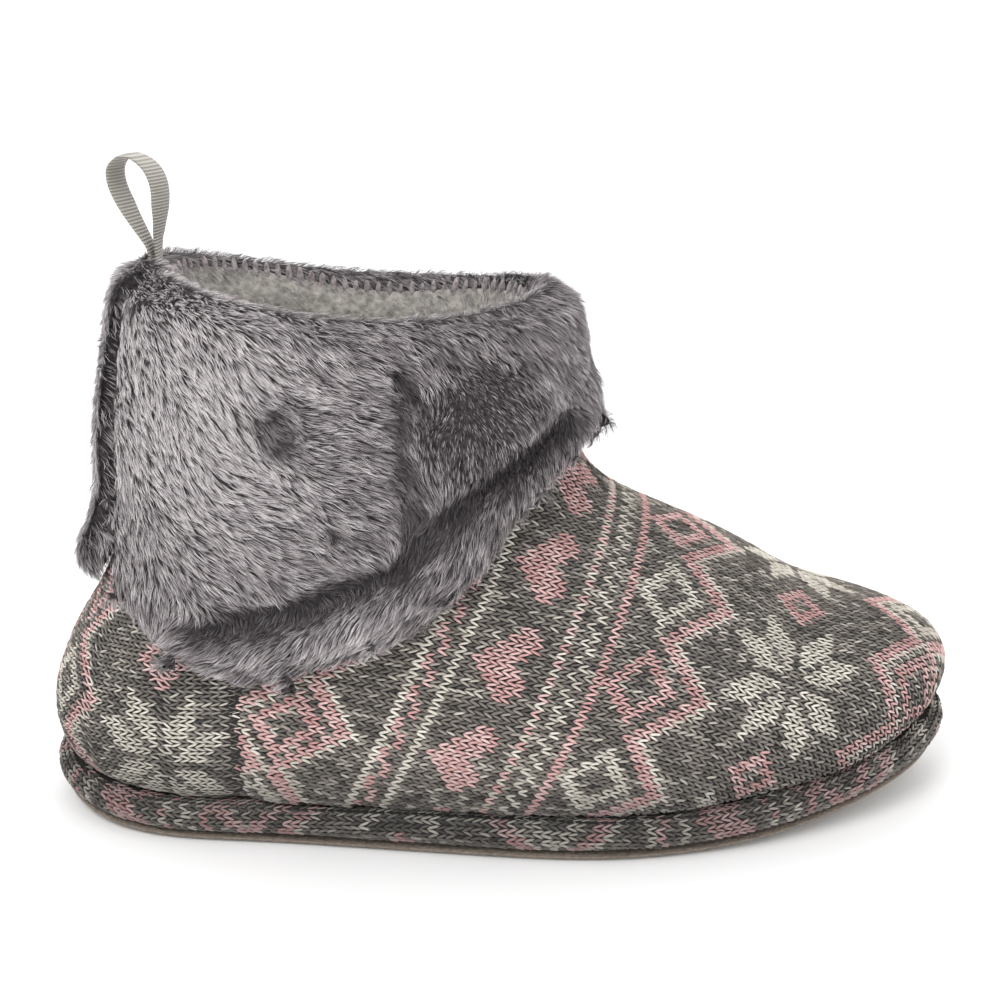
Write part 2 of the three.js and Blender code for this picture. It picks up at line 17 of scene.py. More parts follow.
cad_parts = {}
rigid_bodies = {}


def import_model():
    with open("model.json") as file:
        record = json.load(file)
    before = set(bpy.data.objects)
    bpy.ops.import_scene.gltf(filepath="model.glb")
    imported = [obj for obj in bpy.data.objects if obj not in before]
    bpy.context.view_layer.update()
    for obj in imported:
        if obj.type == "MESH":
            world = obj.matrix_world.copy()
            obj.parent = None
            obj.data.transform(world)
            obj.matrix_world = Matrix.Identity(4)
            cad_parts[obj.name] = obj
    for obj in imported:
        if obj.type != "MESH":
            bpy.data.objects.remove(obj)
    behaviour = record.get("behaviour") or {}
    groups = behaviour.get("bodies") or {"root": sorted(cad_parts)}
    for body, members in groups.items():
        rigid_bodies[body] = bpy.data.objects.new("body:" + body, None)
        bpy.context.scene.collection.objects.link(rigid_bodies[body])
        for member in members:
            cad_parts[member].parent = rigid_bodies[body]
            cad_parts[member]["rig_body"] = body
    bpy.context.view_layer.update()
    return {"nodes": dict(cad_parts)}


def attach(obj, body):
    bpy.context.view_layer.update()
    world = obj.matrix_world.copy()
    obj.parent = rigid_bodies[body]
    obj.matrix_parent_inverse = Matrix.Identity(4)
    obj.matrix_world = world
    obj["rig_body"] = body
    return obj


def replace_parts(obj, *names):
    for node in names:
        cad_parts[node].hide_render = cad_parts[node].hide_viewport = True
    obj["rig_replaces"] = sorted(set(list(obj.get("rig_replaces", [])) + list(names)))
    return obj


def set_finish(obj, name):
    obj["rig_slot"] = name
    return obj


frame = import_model()
nodes = frame["nodes"]
MM = 0.001
print("nodes:", sorted(nodes))

# %% [markdown]
# ## Camera, floor and light
# The picture is taken from the outer side, a little above. The lens and place come from laying
# the model's outline over the sole in the picture. A product picture has soft light from all
# round, so a bright sky and three large lamps do most of the work, and no shadow is hard.

# %% Camera
CAMERA_PLACE = Vector((-1.2, -449.5, 221.5)) * MM
CAMERA_PITCH = 17  # degrees below level
CAMERA_LENS = 61.13  # mm on a sensor 36 mm wide
scene = bpy.context.scene
bpy.ops.object.select_all(action="DESELECT")
bpy.ops.object.camera_add(
    location=CAMERA_PLACE, rotation=(np.radians(90 - CAMERA_PITCH), 0, 0)
)
camera = bpy.context.object
camera.data.lens = CAMERA_LENS
camera.data.sensor_width = 36
camera.data.clip_start = 0.01
scene.camera = camera
scene.view_settings.view_transform = "Standard"

# %% Floor and lamps
bpy.ops.mesh.primitive_plane_add(size=30)
floor = bpy.context.object
floor.name = "floor"
LAMPS = {
    # name: place, size, watts, all aimed at the middle of the slipper
    "key": ((-0.5, -0.9, 1.3), 0.7, 9),
    "fill": ((1.2, -1.0, 0.9), 1.2, 3),
    "back": ((0.1, 1.2, 1.3), 1.2, 5),
}
AIM = Vector((0, 0, 0.08))
for name, (place, size, watts) in LAMPS.items():
    away = Vector(place) - AIM
    bpy.ops.object.light_add(
        type="AREA", location=place, rotation=away.to_track_quat("Z", "Y").to_euler()
    )
    lamp = bpy.context.object
    lamp.name = name
    lamp.data.size = size
    lamp.data.energy = watts
sky = bpy.data.worlds.new("sky")
scene.world = sky
sky.use_nodes = True
sky.node_tree.nodes["Background"].inputs["Color"].default_value = (1, 1, 1, 1)
sky.node_tree.nodes["Background"].inputs["Strength"].default_value = 1.05
print("camera and", len(LAMPS), "lamps placed")

# %% [markdown]
# ## Writing finishes as expressions
# A finish is a small graph of nodes. One class wraps an output socket, so that a difference or
# a quotient becomes a Math node. Every other node comes from one method of the finish.


# %% A value that varies over a surface
class Value:
    """An output socket that can be used in differences and quotients."""

    def __init__(self, finish, socket):
        self.finish = finish
        self.socket = socket

    def maths(self, operation, *values):
        sockets = {i: value for i, value in enumerate(values)}
        return self.finish.node("ShaderNodeMath", {"operation": operation}, sockets)

    def __rsub__(self, other):
        return self.maths("SUBTRACT", other, self)

    def __truediv__(self, other):
        return self.maths("DIVIDE", self, other)


class Finish:
    """A material, with one method that adds any node."""

    def __init__(self, name, **fixed):
        self.material = bpy.data.materials.new(name)
        self.material.use_nodes = True
        self.tree = self.material.node_tree
        self.surface = self.tree.nodes["Principled BSDF"]
        for label, value in fixed.items():
            self.surface.inputs[label.replace("_", " ").title()].default_value = value

    def node(self, kind, settings=None, sockets=None, out=0):
        node = self.tree.nodes.new(kind)
        for key, value in (settings or {}).items():
            if key == "stops":
                self.set_stops(node.color_ramp, value)
            else:
                setattr(node, key, value)
        for key, value in (sockets or {}).items():
            if isinstance(value, Value):
                self.tree.links.new(value.socket, node.inputs[key])
            else:
                node.inputs[key].default_value = value
        return Value(self, node.outputs[out])

    def set_stops(self, ramp, stops):
        while len(ramp.elements) < len(stops):
            ramp.elements.new(1.0)
        for element, (place, colour) in zip(ramp.elements, stops):
            element.position = place
            element.color = (*colour, 1)

    def feed(self, label, value):
        self.tree.links.new(value.socket, self.surface.inputs[label])

    def place(self):
        return self.node("ShaderNodeTexCoord", out="Object")

    def noise(self, scale, detail):
        sockets = {"Vector": self.place(), "Scale": scale, "Detail": detail}
        return self.node("ShaderNodeTexNoise", {}, sockets)

    def ramp(self, value, stops):
        return self.node("ShaderNodeValToRGB", {"stops": stops}, {"Fac": value})

    def mix(self, share, first, second):
        sockets = {"Factor": share, 6: first, 7: second}
        return self.node("ShaderNodeMix", {"data_type": "RGBA"}, sockets, out=2)

    def bump(self, height, distance):
        sockets = {"Height": height, "Distance": distance, "Strength": 1.0}
        self.feed("Normal", self.node("ShaderNodeBump", {}, sockets))

    def chart_map(self):
        chart = self.node("ShaderNodeUVMap", {"uv_map": "OFBake"})
        split = self.node("ShaderNodeSeparateXYZ", {}, {"Vector": chart})
        node = split.socket.node
        return Value(self, node.outputs["X"]), Value(self, node.outputs["Y"])


def linear(code):
    """A colour written as a hex code, as the linear numbers that shaders use."""
    parts = [int(code[i : i + 2], 16) / 255 for i in (0, 2, 4)]
    return tuple(c / 12.92 if c < 0.04045 else ((c + 0.055) / 1.055) ** 2.4 for c in parts)


floor_finish = Finish("floor_white", roughness=0.9)
floor_finish.surface.inputs["Base Color"].default_value = (*linear("fdfdfd"), 1)
floor.data.materials.append(floor_finish.material)
print("floor finish ready")


# %% [markdown]
# ## Smooth pieces from the model's own solids
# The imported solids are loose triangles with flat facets. A copy is merged, its triangles are
# joined to quads, and a Subdivision Surface turns it into a soft form in the same place.


# %% Copy and smooth a solid
def only(obj):
    bpy.ops.object.select_all(action="DESELECT")
    obj.select_set(True)
    bpy.context.view_layer.objects.active = obj


def apply_modifier(obj, kind, **settings):
    only(obj)
    modifier = obj.modifiers.new(kind.lower(), kind)
    for key, value in settings.items():
        setattr(modifier, key, value)
    bpy.ops.object.modifier_apply(modifier=modifier.name)


def edit_all(obj, *steps):
    """Run steps on all of an object's faces, in edit mode."""
    only(obj)
    bpy.ops.object.mode_set(mode="EDIT")
    bpy.ops.mesh.select_all(action="SELECT")
    for step in steps:
        step()
    bpy.ops.object.mode_set(mode="OBJECT")


MERGE_GAP = 0.02 * MM


def merged_copy(node, name):
    obj = bpy.data.objects.new(name, nodes[node].data.copy())
    scene.collection.objects.link(obj)
    obj.data.materials.clear()
    edit_all(obj, lambda: bpy.ops.mesh.remove_doubles(threshold=MERGE_GAP))
    return obj


def softened(node, name, levels=2):
    obj = merged_copy(node, name)
    to_quads = bpy.ops.mesh.tris_convert_to_quads
    edit_all(obj, lambda: to_quads(face_threshold=1.0, shape_threshold=1.0))
    apply_modifier(obj, "SUBSURF", levels=levels, render_levels=levels)
    bpy.ops.object.shade_smooth()
    for layer in list(obj.data.uv_layers):
        obj.data.uv_layers.remove(layer)
    return obj


def finished(obj, slot, finish, *replaced):
    obj.data.materials.append(finish.material)
    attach(obj, "root")
    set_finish(obj, slot)
    if replaced:
        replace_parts(obj, *replaced)
    faces = sum(len(p.vertices) - 2 for p in obj.data.polygons)
    print(f"{obj.name}: {faces} triangles")
    return obj


def points_of(mesh):
    flat = np.empty(len(mesh.vertices) * 3)
    mesh.vertices.foreach_get("co", flat)
    return flat.reshape(-1, 3)


def move_points(mesh, points):
    mesh.vertices.foreach_set("co", points.ravel())
    mesh.update()


def taken(obj):
    """Points and triangles of a modelled piece, which is then removed."""
    points = points_of(obj.data)
    faces = np.array([tuple(p.vertices) for p in obj.data.polygons])
    bpy.data.objects.remove(obj)
    return points, faces


def tree_of(obj):
    triangles = [tuple(p.vertices) for p in obj.data.polygons]
    return BVHTree.FromPolygons([v.co for v in obj.data.vertices], triangles)


# %% [markdown]
# ## Padding under the knit
# The padded wall isn't an even dome: it gives a little everywhere. Slow waves move the smooth
# shell by a few tenths of a millimetre.

# %% Upper's shell
WAVES = np.array([[61, 13, 37], [-29, 47, 71], [17, -83, 41], [97, 31, -59]])
WAVE_HEIGHT = 0.22 * MM
WAVE_SCALE = 1.3
WAVE_PHASE = 1.7  # radians from one wave to the next


def padding(points):
    """Height of the padding's slow waves at each point."""
    phase = np.arange(len(WAVES)) * WAVE_PHASE
    return WAVE_HEIGHT * np.sin(points @ WAVES.T * WAVE_SCALE + phase).sum(1)


def normals_of(mesh):
    flat = np.empty(len(mesh.vertices) * 3)
    mesh.vertex_normals.foreach_get("vector", flat)
    return flat.reshape(-1, 3)


def padded_out(obj):
    points = points_of(obj.data)
    move_points(obj.data, points + normals_of(obj.data) * padding(points)[:, None])
    return obj


shell = padded_out(softened("upper", "upper_shell", 1))
fine_shell = padded_out(softened("upper", "fine_shell", 2))

# %% [markdown]
# ## Knit finish
# Real stitches lie over a dark ground, so the ground only has to be dark and matt. The stitches
# carry a small map of their own: its first direction picks the yarn's tone from charcoal through
# pink to cream, and its second runs across the strand, with painted shade at its low edges.
# Towards the sole the yarn's colour is darkened, as in the picture: painted shade, where less
# light gets in.

# %% Yarn and ground
GROUND = linear("2c2a28")
CHARCOAL = ("35322f", "857e77", "cfc8bd")  # dark, middle and light fleck of the marl
PINK = ("c08f8c", "e8c8c5")
CREAM = ("b9b2a6", "e8e2d7")
TONE_PINK = 0.5  # where pink starts on the map, and cream
TONE_CREAM = 0.75

ground = Finish("knit_ground", roughness=0.95)
ground_grain = ground.noise(900, 3)
ground.feed("Base Color", ground.ramp(ground_grain, [(0.3, linear("1f1e1d")), (0.7, GROUND)]))
ground.bump(ground_grain, 0.0004)

yarn = Finish("yarn", roughness=0.85, sheen_weight=0.12, sheen_roughness=0.5)
tone, across = yarn.chart_map()
TONE_EDGE = 0.004  # how sharply one tone of the map gives way to the next
yarn_colour = yarn.ramp(
    tone,
    [
        (0.0, linear(CHARCOAL[0])),
        (0.25, linear(CHARCOAL[1])),
        (TONE_PINK - TONE_EDGE, linear(CHARCOAL[2])),
        (TONE_PINK, linear(PINK[0])),
        (TONE_CREAM - TONE_EDGE, linear(PINK[1])),
        (TONE_CREAM, linear(CREAM[0])),
        (1.0, linear(CREAM[1])),
    ],
)
# painted shade: each leg's colour is darker at its low edges, where it sinks to the ground
painted_edge_shade = yarn.ramp(across, [(0.0, (0.2, 0.19, 0.18)), (0.5, (1, 1, 1)), (1.0, (1, 1, 1))])


def product(first, second):
    """One colour times another."""
    settings = {"data_type": "RGBA", "blend_type": "MULTIPLY"}
    return yarn.node("ShaderNodeMix", settings, {"Factor": 1.0, 6: first, 7: second}, out=2)


PAINTED_SHADE_HEIGHT = 50 * MM  # painted shade: the yarn's colour darkens towards the sole, below this height
PAINTED_SHADE_STOPS = ((0.1, 0.42), (0.28, 0.45), (0.36, 0.6), (0.55, 0.9), (0.75, 1.0))
# painted shade: the yarn's base colour is multiplied by a ramp on height, darker towards the sole
height_split = yarn.node("ShaderNodeSeparateXYZ", {}, {"Vector": yarn.place()}, out=2)
painted_shade_stops = [(at, (shade,) * 3) for at, shade in PAINTED_SHADE_STOPS]
painted_low_shade = yarn.ramp(height_split / PAINTED_SHADE_HEIGHT, painted_shade_stops)
yarn.feed("Base Color", product(product(yarn_colour, painted_edge_shade), painted_low_shade))
finished(shell, "knit", ground, "upper")

# %% [markdown]
# ## The charted pattern
# The pattern is a traditional snow pattern: hearts, a ladder, diamonds, zigzags and stars. A knit
# chart gives one tone to each stitch. Rows count along the foot towards the toe, from beside the
# middle of the hearts, and repeat after 72. Columns count across the foot, and repeat after 24.

# %% Tones of the chart
CHART_ROWS = 72
CHART_COLUMNS = 24
HEART = (
    "....p....",
    "...ppp...",
    "..ppppp..",
    ".ppppppp.",
    "ppppppppp",
    "pppp.pppp",
    ".pp...pp.",
)
FIRST_DIAMONDS, LAST_DIAMONDS, STARS = 15, 51, 33
STAR_COLUMN, SMALL_COLUMN = 18, 6


def from_middle(column, middle, period):
    """Signed number of columns from the nearest repeat of a motif's middle."""
    return (column - middle + period / 2) % period - period / 2


def chart(row, column):
    """Tone of one stitch: '.' ground, 'p' pink, 'w' cream."""
    row %= CHART_ROWS
    rise = abs(from_middle(column, 0, 12))  # 0 at the diamonds' columns, 6 between them
    heart = (row + 4) % CHART_ROWS
    heart_column = int(from_middle(column, 0, 12)) + len(HEART[0]) // 2
    if heart < len(HEART) and 0 <= heart_column < len(HEART[0]):
        return HEART[heart][heart_column]
    if row == 10 or (row == 5 and column % 2):
        return "p"
    if row in (62, 66) or (row in (7, 8) and (row + column) % 2) or row == 5:
        return "w"
    if row == 64 - (column // 2) % 2:
        return "p"
    for peak in (23 - rise, 44 + rise, 58 - rise):
        if row in (peak, peak - 1):
            return "p"
        if row == peak + 1:
            return "w"
    for middle in (FIRST_DIAMONDS, LAST_DIAMONDS):
        if 3 <= abs(row - middle) + rise <= 4:
            near = abs(from_middle(column, 0, 24)) < 6
            return "w" if near == (middle == FIRST_DIAMONDS) else "p"
    up = abs(row - STARS)
    out = abs(from_middle(column, STAR_COLUMN, CHART_COLUMNS))
    low, high = min(up, out), max(up, out)
    if 1 <= low <= 4 and 1 <= high - low <= 4:
        return "w"
    small = up + abs(from_middle(column, SMALL_COLUMN, CHART_COLUMNS))
    return "p" if 2 <= small <= 3 else "."


for row in range(-4, 60, 3):
    print("".join(chart(row, column) for column in range(48)))

# %% [markdown]
# ## Where the stitches lie
# A knit tube is a net of rows and columns. For the foot part we slice the shell with slanting
# planes, a row apart, and walk down each slice a stitch at a time. The columns follow the ridge
# at the toe. Further back they are counted from the sole, and climb slowly towards the heel.
# For the heel part the slices stand upright round the heel, and for the sole's edge round it.

# %% Walking over a surface
ROW_PITCH = 2.2 * MM
COLUMN_PITCH = 2.3 * MM
ROW_SLOPE = np.radians(25.5)  # how far the rows lean back from upright
FAR = 0.4


def outer_hits(tree, origins, ways):
    """First points met by rays that come from far outside towards each origin."""
    hits = []
    for origin, way in zip(origins, ways):
        start = Vector(origin) + Vector(way) * FAR
        found = tree.ray_cast(start, -Vector(way))
        if found[0] is not None and (found[0] - Vector(origin)).dot(Vector(way)) > 0:
            hits.append((*found[0], *found[1]))
    return np.array(hits).reshape(-1, 6)


def lengths_along(line):
    """Length along a line of hits, at each of its points."""
    steps = np.linalg.norm(np.diff(line[:, :3], axis=0), axis=1)
    return np.concatenate([[0], np.cumsum(steps)])


def walk(line, pitch, start=0.0):
    """Points and normals at equal steps along a line of hits."""
    length = lengths_along(line)
    at = np.arange(start, length[-1], pitch)
    return np.stack([np.interp(at, length, line[:, k]) for k in range(6)], axis=1)


TOE_LIFT, TOE_LIFT_START, TOE_LIFT_LENGTH = 12 * MM, 35.5 * MM, 92 * MM
HEEL_LIFT, HEEL_LIFT_START, HEEL_LIFT_LENGTH = 3.5 * MM, -89.5 * MM, 38 * MM


def end_lift(x):
    """How far the sole lifts off the floor at its two ends."""
    toe = np.clip((x - TOE_LIFT_START) / TOE_LIFT_LENGTH, 0, 1)
    heel = np.clip((HEEL_LIFT_START - x) / HEEL_LIFT_LENGTH, 0, 1)
    return TOE_LIFT * toe**2 + HEEL_LIFT * heel**2


shell_tree = tree_of(fine_shell)
bpy.data.objects.remove(fine_shell)
cuff_points = points_of(nodes["cuff"].data)
HEM_BINS = np.arange(-0.13, 0.04, 0.004)
HEM_WINDOW = 6 * MM  # along the foot, to each side of a bin
NO_HEM = 1.0  # height of the hem where the cuff has ended


def hem_heights(side):
    """Height of the cuff's hem along the foot, on one side."""
    mine = cuff_points[cuff_points[:, 1] * side > 0]
    low = []
    for x in HEM_BINS:
        near = mine[np.abs(mine[:, 0] - x) < HEM_WINDOW]
        low.append(near[:, 2].min() if len(near) else NO_HEM)
    return np.array(low)


hems = {side: hem_heights(side) for side in (-1, 1)}


def under_cuff(points, depth):
    """Whether each point lies further than depth above the hem, under the cuff."""
    outer = np.interp(points[:, 0], HEM_BINS, hems[-1], right=NO_HEM)
    inner = np.interp(points[:, 0], HEM_BINS, hems[1], right=NO_HEM)
    hem = np.where(points[:, 1] < 0, outer, inner)
    return points[:, 2] > hem + depth


# %% The foot part's net
SEAM_X = -70.5 * MM
SEAM_SINK, SEAM_REACH = 0.45 * MM, 2.8 * MM
SEAM_GAP = 0.25 * MM  # on each side of the seam
HEART_X = -8.65 * MM  # row 0, beside the middle of the hearts, at the height of the axis
ROW_STEP = 2.37 * MM  # from row to row along the foot
KNIT_BOTTOM = 13.4 * MM
AXIS_HEIGHT = 33 * MM
AXIS_SIDE = 4 * MM  # how far the axis lies to the inner side, in front of the shaft
FIRST_ROW, LAST_ROW = -44, 69
RIDGE_ROW = 15  # from this row to the toe the columns follow the ridge
COLUMN_CLIMB = 0.155  # columns that the net climbs from the sole with each row before it
COLUMN_TURN = 0.13  # columns that it turns across the ridge with each row past it
TOE_STEP = 2.9 * MM  # the most from row to row along the ridge, where the toe turns down
STEP_CUT = 0.8  # a row too far away is tried this much closer
LEAST_STEP = 0.2  # shortest step to a last row, in usual steps
SLICE_TURNS = np.radians(np.arange(0, 150, 0.75))  # from the ridge down to the sole
upward = np.array([np.sin(ROW_SLOPE), 0, np.cos(ROW_SLOPE)])
sideways = np.array([0, 1.0, 0])


def ridge_point(x):
    """Point of the axis at x, and the top of the shell in the slice through it."""
    axis = np.array([x, AXIS_SIDE * (x > 0), AXIS_HEIGHT])
    return axis, shell_tree.ray_cast(Vector(axis + upward * FAR), Vector(-upward))[0]


def row_places():
    """Place of each row along the foot. Rows lie closer together where the toe turns down."""
    at = {row: HEART_X + row * ROW_STEP for row in range(FIRST_ROW, RIDGE_ROW + 1)}
    for row in range(RIDGE_ROW + 1, LAST_ROW + 1):
        step = ROW_STEP
        last = ridge_point(at[row - 1])[1]
        top = ridge_point(at[row - 1] + step)[1]
        while top is None or (top - last).length > TOE_STEP:
            step *= STEP_CUT
            top = ridge_point(at[row - 1] + step)[1]
        if step < LEAST_STEP * ROW_STEP:
            break
        at[row] = at[row - 1] + step
    return at


row_x = row_places()
print("rows along the foot:", len(row_x))


def slice_origin(row):
    """Where the rays of one slice meet: on the axis, or half way up the toe where it is lower."""
    axis, top = ridge_point(row_x[row])
    if row <= RIDGE_ROW:
        return axis
    rise = (top.z - KNIT_BOTTOM - end_lift(top.x)) / upward[2]
    return min(axis, np.array(top) - upward * rise / 2, key=lambda place: place[2])


def foot_line(row, side):
    """Points of the shell in one slice, from the ridge down one side to the sole."""
    ways = np.outer(np.cos(SLICE_TURNS), upward)
    ways = ways + np.outer(np.sin(SLICE_TURNS) * side, sideways)
    line = outer_hits(shell_tree, np.tile(slice_origin(row), (len(ways), 1)), ways)
    if not len(line):
        return line
    height = line[:, 2] - KNIT_BOTTOM - end_lift(line[:, 0])
    above = int((height > 0).sum())
    if above == 0 or above == len(line):
        return line[:above]
    share = height[above - 1] / (height[above - 1] - height[above])
    end = line[above - 1] + (line[above] - line[above - 1]) * share
    return np.vstack([line[:above], end])


def seamed(point):
    """A stitch's place, drawn in where the two knit parts meet."""
    sink = SEAM_SINK * np.exp(-(((point[0] - SEAM_X) / SEAM_REACH) ** 2))
    return np.concatenate([point[:3] - point[3:] * sink, point[3:]])


def foot_net(side, chart_column, start):
    """Places by row and chart column on one side of the foot.

    chart_column crosses RIDGE_ROW at start, in columns from the ridge."""
    lines = {row: foot_line(row, side) for row in row_x}
    lines = {row: line for row, line in lines.items() if len(line) > 2}
    full = lengths_along(lines[RIDGE_ROW])[-1] / COLUMN_PITCH
    net = {}
    for row, line in lines.items():
        if row > RIDGE_ROW:
            at = start + side * COLUMN_TURN * (row - RIDGE_ROW)
        else:
            longer = lengths_along(line)[-1] / COLUMN_PITCH - full
            at = start + longer - COLUMN_CLIMB * (RIDGE_ROW - row)
        for step, point in enumerate(walk(line, COLUMN_PITCH, (at % 1) * COLUMN_PITCH)):
            net[row, chart_column + side * (step - int(np.floor(at)))] = seamed(point)
    return net


foot_nets = {-1: foot_net(-1, 0, 16.0), 1: foot_net(1, 16, 0.0)}
print("stitches in the foot part's nets:", [len(net) for net in foot_nets.values()])


# %% [markdown]
# ## One stitch
# Each stitch is a V of two legs. One leg is modelled once, from a sphere with few faces that is
# drawn out to a drop, and copied to every place of the net. The legs point to the heel.

# %% Model one leg
LEG_LENGTH = 1.6  # in rows
LEG_WIDTH = 0.41  # in columns
LEG_TURN = 0.3  # radians between a leg and the row's direction
LEG_BOW = 0.16  # how high a leg's middle stands over its ends, in its widths
bpy.ops.object.select_all(action="DESELECT")
bpy.ops.mesh.primitive_uv_sphere_add(segments=3, ring_count=3, radius=0.5)
leg = bpy.context.object
turn_over = {"value": np.pi / 2, "orient_axis": "Y", "center_override": (0, 0, 0)}
edit_all(leg, lambda: bpy.ops.transform.rotate(**turn_over), bpy.ops.mesh.quads_convert_to_tris)
leg_points, leg_faces = taken(leg)
leg_points[:, 2] += LEG_BOW * (1 - (2 * leg_points[:, 0]) ** 2)
print("one leg:", len(leg_points), "points and", len(leg_faces), "faces")


# %% Copies as one mesh
def joined_mesh(name, points, faces, chart_uv):
    """A mesh of many equal copies. points is copies x points x 3, faces those of one copy."""
    copies, size = points.shape[:2]
    offsets = np.arange(copies)[:, None, None] * size
    corners = (faces[None] + offsets).ravel().astype(np.int32)
    mesh = bpy.data.meshes.new(name)
    mesh.vertices.add(copies * size)
    mesh.vertices.foreach_set("co", points.ravel())
    mesh.loops.add(len(corners))
    mesh.loops.foreach_set("vertex_index", corners)
    mesh.polygons.add(len(corners) // 3)
    mesh.polygons.foreach_set("loop_start", np.arange(0, len(corners), 3, dtype=np.int32))
    mesh.polygons.foreach_set("use_smooth", np.ones(len(corners) // 3, dtype=bool))
    layer = mesh.uv_layers.new(name="OFBake")
    layer.data.foreach_set("uv", chart_uv.reshape(-1, 2)[corners].ravel())
    mesh.update(calc_edges=True)
    obj = bpy.data.objects.new(name, mesh)
    scene.collection.objects.link(obj)
    return obj


def unit(vectors):
    return vectors / np.maximum(np.linalg.norm(vectors, axis=-1, keepdims=True), 1e-12)


random = np.random.default_rng(11)
MARL = 0.2
TONES = {"p": (TONE_PINK + 0.03, TONE_CREAM - 0.03), "w": (TONE_CREAM + 0.05, 0.99)}


def tones_of(letters):
    """Place of each stitch's tone on the yarn's map, with the marl's flecks."""
    count = len(letters)
    tones = np.clip(random.normal(MARL, 0.03, count), 0.01, 0.47)
    for letter, (low, high) in TONES.items():
        mine = np.array(letters) == letter
        tones[mine] = random.uniform(low, high, count)[mine]
    return tones


def stitches(name, net, letter_of, keep):
    """Legs over a net of places. keep says which places get a stitch."""
    keys = [key for key in net if keep(net[key])]
    places, along, around = [], [], []
    for row, column in keys:
        here = net[row, column]
        ahead = net.get((row + 1, column), here)
        behind = net.get((row - 1, column), here)
        one = net.get((row, column + 1), here)
        other = net.get((row, column - 1), here)
        along.append(ahead[:3] - behind[:3])
        around.append(one[:3] - other[:3])
        places.append(here)
    places, along, around = np.array(places), np.array(along), np.array(around)
    normal = unit(places[:, 3:])
    along = unit(along - normal * (along * normal).sum(1)[:, None])
    across_way = unit(np.cross(normal, along))
    tones = tones_of([letter_of(row, column) for row, column in keys])
    all_points, all_uv = [], []
    for side in (-1, 1):
        turn = LEG_TURN + random.normal(0, 0.06, len(keys))
        way = along * np.cos(turn)[:, None] + across_way * (side * np.sin(turn))[:, None]
        wide = np.cross(normal, way)
        middle = places[:, :3] + across_way * side * COLUMN_PITCH * 0.25
        middle = middle + normal * (0.1 * MM + random.normal(0, 0.05 * MM, len(keys))[:, None])
        scale = 1 + random.normal(0, 0.06, len(keys))
        shape = leg_points[None] * scale[:, None, None]
        points = (
            middle[:, None]
            + shape[..., :1] * way[:, None] * LEG_LENGTH * ROW_PITCH
            + shape[..., 1:2] * wide[:, None] * LEG_WIDTH * COLUMN_PITCH
            + shape[..., 2:] * normal[:, None] * LEG_WIDTH * COLUMN_PITCH
        )
        leg_tones = tones + random.normal(0, 0.008, len(keys))
        marl = tones < TONE_PINK
        flecks = random.normal(0, 0.07, len(keys)) + 0.22 * (random.random(len(keys)) < 0.1)
        leg_tones = np.where(marl, np.clip(tones + flecks, 0.01, 0.47), leg_tones)
        spread = 0.004 * np.sign(leg_points[:, 1])
        u = leg_tones[:, None] + spread[None]
        # painted shade: the map's second direction follows the leg's height, darker low down
        v = np.tile(np.clip(leg_points[:, 2] + 0.55, 0, 1), (len(keys), 1))
        all_points.append(points)
        all_uv.append(np.stack([u, v], axis=-1))
    return joined_mesh(name, np.concatenate(all_points), leg_faces, np.concatenate(all_uv))


HIDDEN_DEPTH = 10 * MM


def on_foot(place):
    return place[0] > SEAM_X + SEAM_GAP and not under_cuff(place[None], HIDDEN_DEPTH)[0]


for side, name in ((-1, "vamp_stitches_outer"), (1, "vamp_stitches_inner")):
    finished(stitches(name, foot_nets[side], chart, on_foot), "knit", yarn)

# %% The heel part's net
HEEL_AXIS = -78 * MM
HEEL_TOP = 84  # mm, well under the cuff
HEEL_STAR_ROW = 14  # rows from the net's outer end to the middle of the star
GIRDLE = 30  # the slices' point whose distance sets the rows apart
HEEL_COLUMN = 13  # the chart's column at the lower edge


def heel_line(turn):
    """Points of the shell in one upright slice, from the bottom up."""
    heights = np.arange(KNIT_BOTTOM / MM, HEEL_TOP, 0.8) * MM
    way = np.array([-np.cos(turn), np.sin(turn), 0])
    origins = np.stack([np.full_like(heights, HEEL_AXIS), heights * 0, heights], axis=1)
    return outer_hits(shell_tree, origins, np.tile(way, (len(heights), 1)))


turns = np.radians(np.arange(-112, 112, 1.0))
girdle = np.array([heel_line(turn)[GIRDLE] for turn in turns])
girdle_length = lengths_along(girdle)
heel_turns = np.interp(np.arange(0, girdle_length[-1], ROW_PITCH), girdle_length, turns)
heel_net = {}
for row, turn in enumerate(heel_turns):
    for column, point in enumerate(walk(heel_line(turn), COLUMN_PITCH)):
        heel_net[row, column] = seamed(point)


def on_heel(place):
    return place[0] < SEAM_X - SEAM_GAP and not under_cuff(place[None], HIDDEN_DEPTH)[0]


def heel_chart(row, column):
    return chart(STARS - (row - HEEL_STAR_ROW), column + HEEL_COLUMN)


heel_knit = stitches("heel_stitches", heel_net, heel_chart, on_heel)
finished(heel_knit, "knit", yarn)

# %% [markdown]
# ## Midsole
# The footbed's side is wrapped in the same knit. Its net runs round the sole.

# %% Midsole and its stitches
midsole = softened("midsole", "midsole_wrap")
finished(midsole, "knit", ground, "midsole")
EDGE_LOW, EDGE_HIGH = 3.9 * MM, 11.8 * MM
EDGE_PITCH = 2.3 * MM
EDGE_HEART_X = 55 * MM  # a row of hearts on the outer side
EDGE_COLUMN = 7  # the chart's column at the lower edge
ring_turns = np.radians(np.arange(0, 360, 0.5))
ring_ways = np.stack([-np.cos(ring_turns), -np.sin(ring_turns), 0 * ring_turns], axis=1)
level_points = points_of(midsole.data)
level_points[:, 2] -= end_lift(level_points[:, 0])
level_faces = [tuple(p.vertices) for p in midsole.data.polygons]
level_tree = BVHTree.FromPolygons(level_points.tolist(), level_faces)


def edge_ring(height):
    """Points of the midsole's edge at one height, measured as if the sole lay level."""
    ring = outer_hits(level_tree, np.outer(np.ones(len(ring_ways)), [0, 0, height]), ring_ways)
    ring[:, 2] += end_lift(ring[:, 0])
    return ring


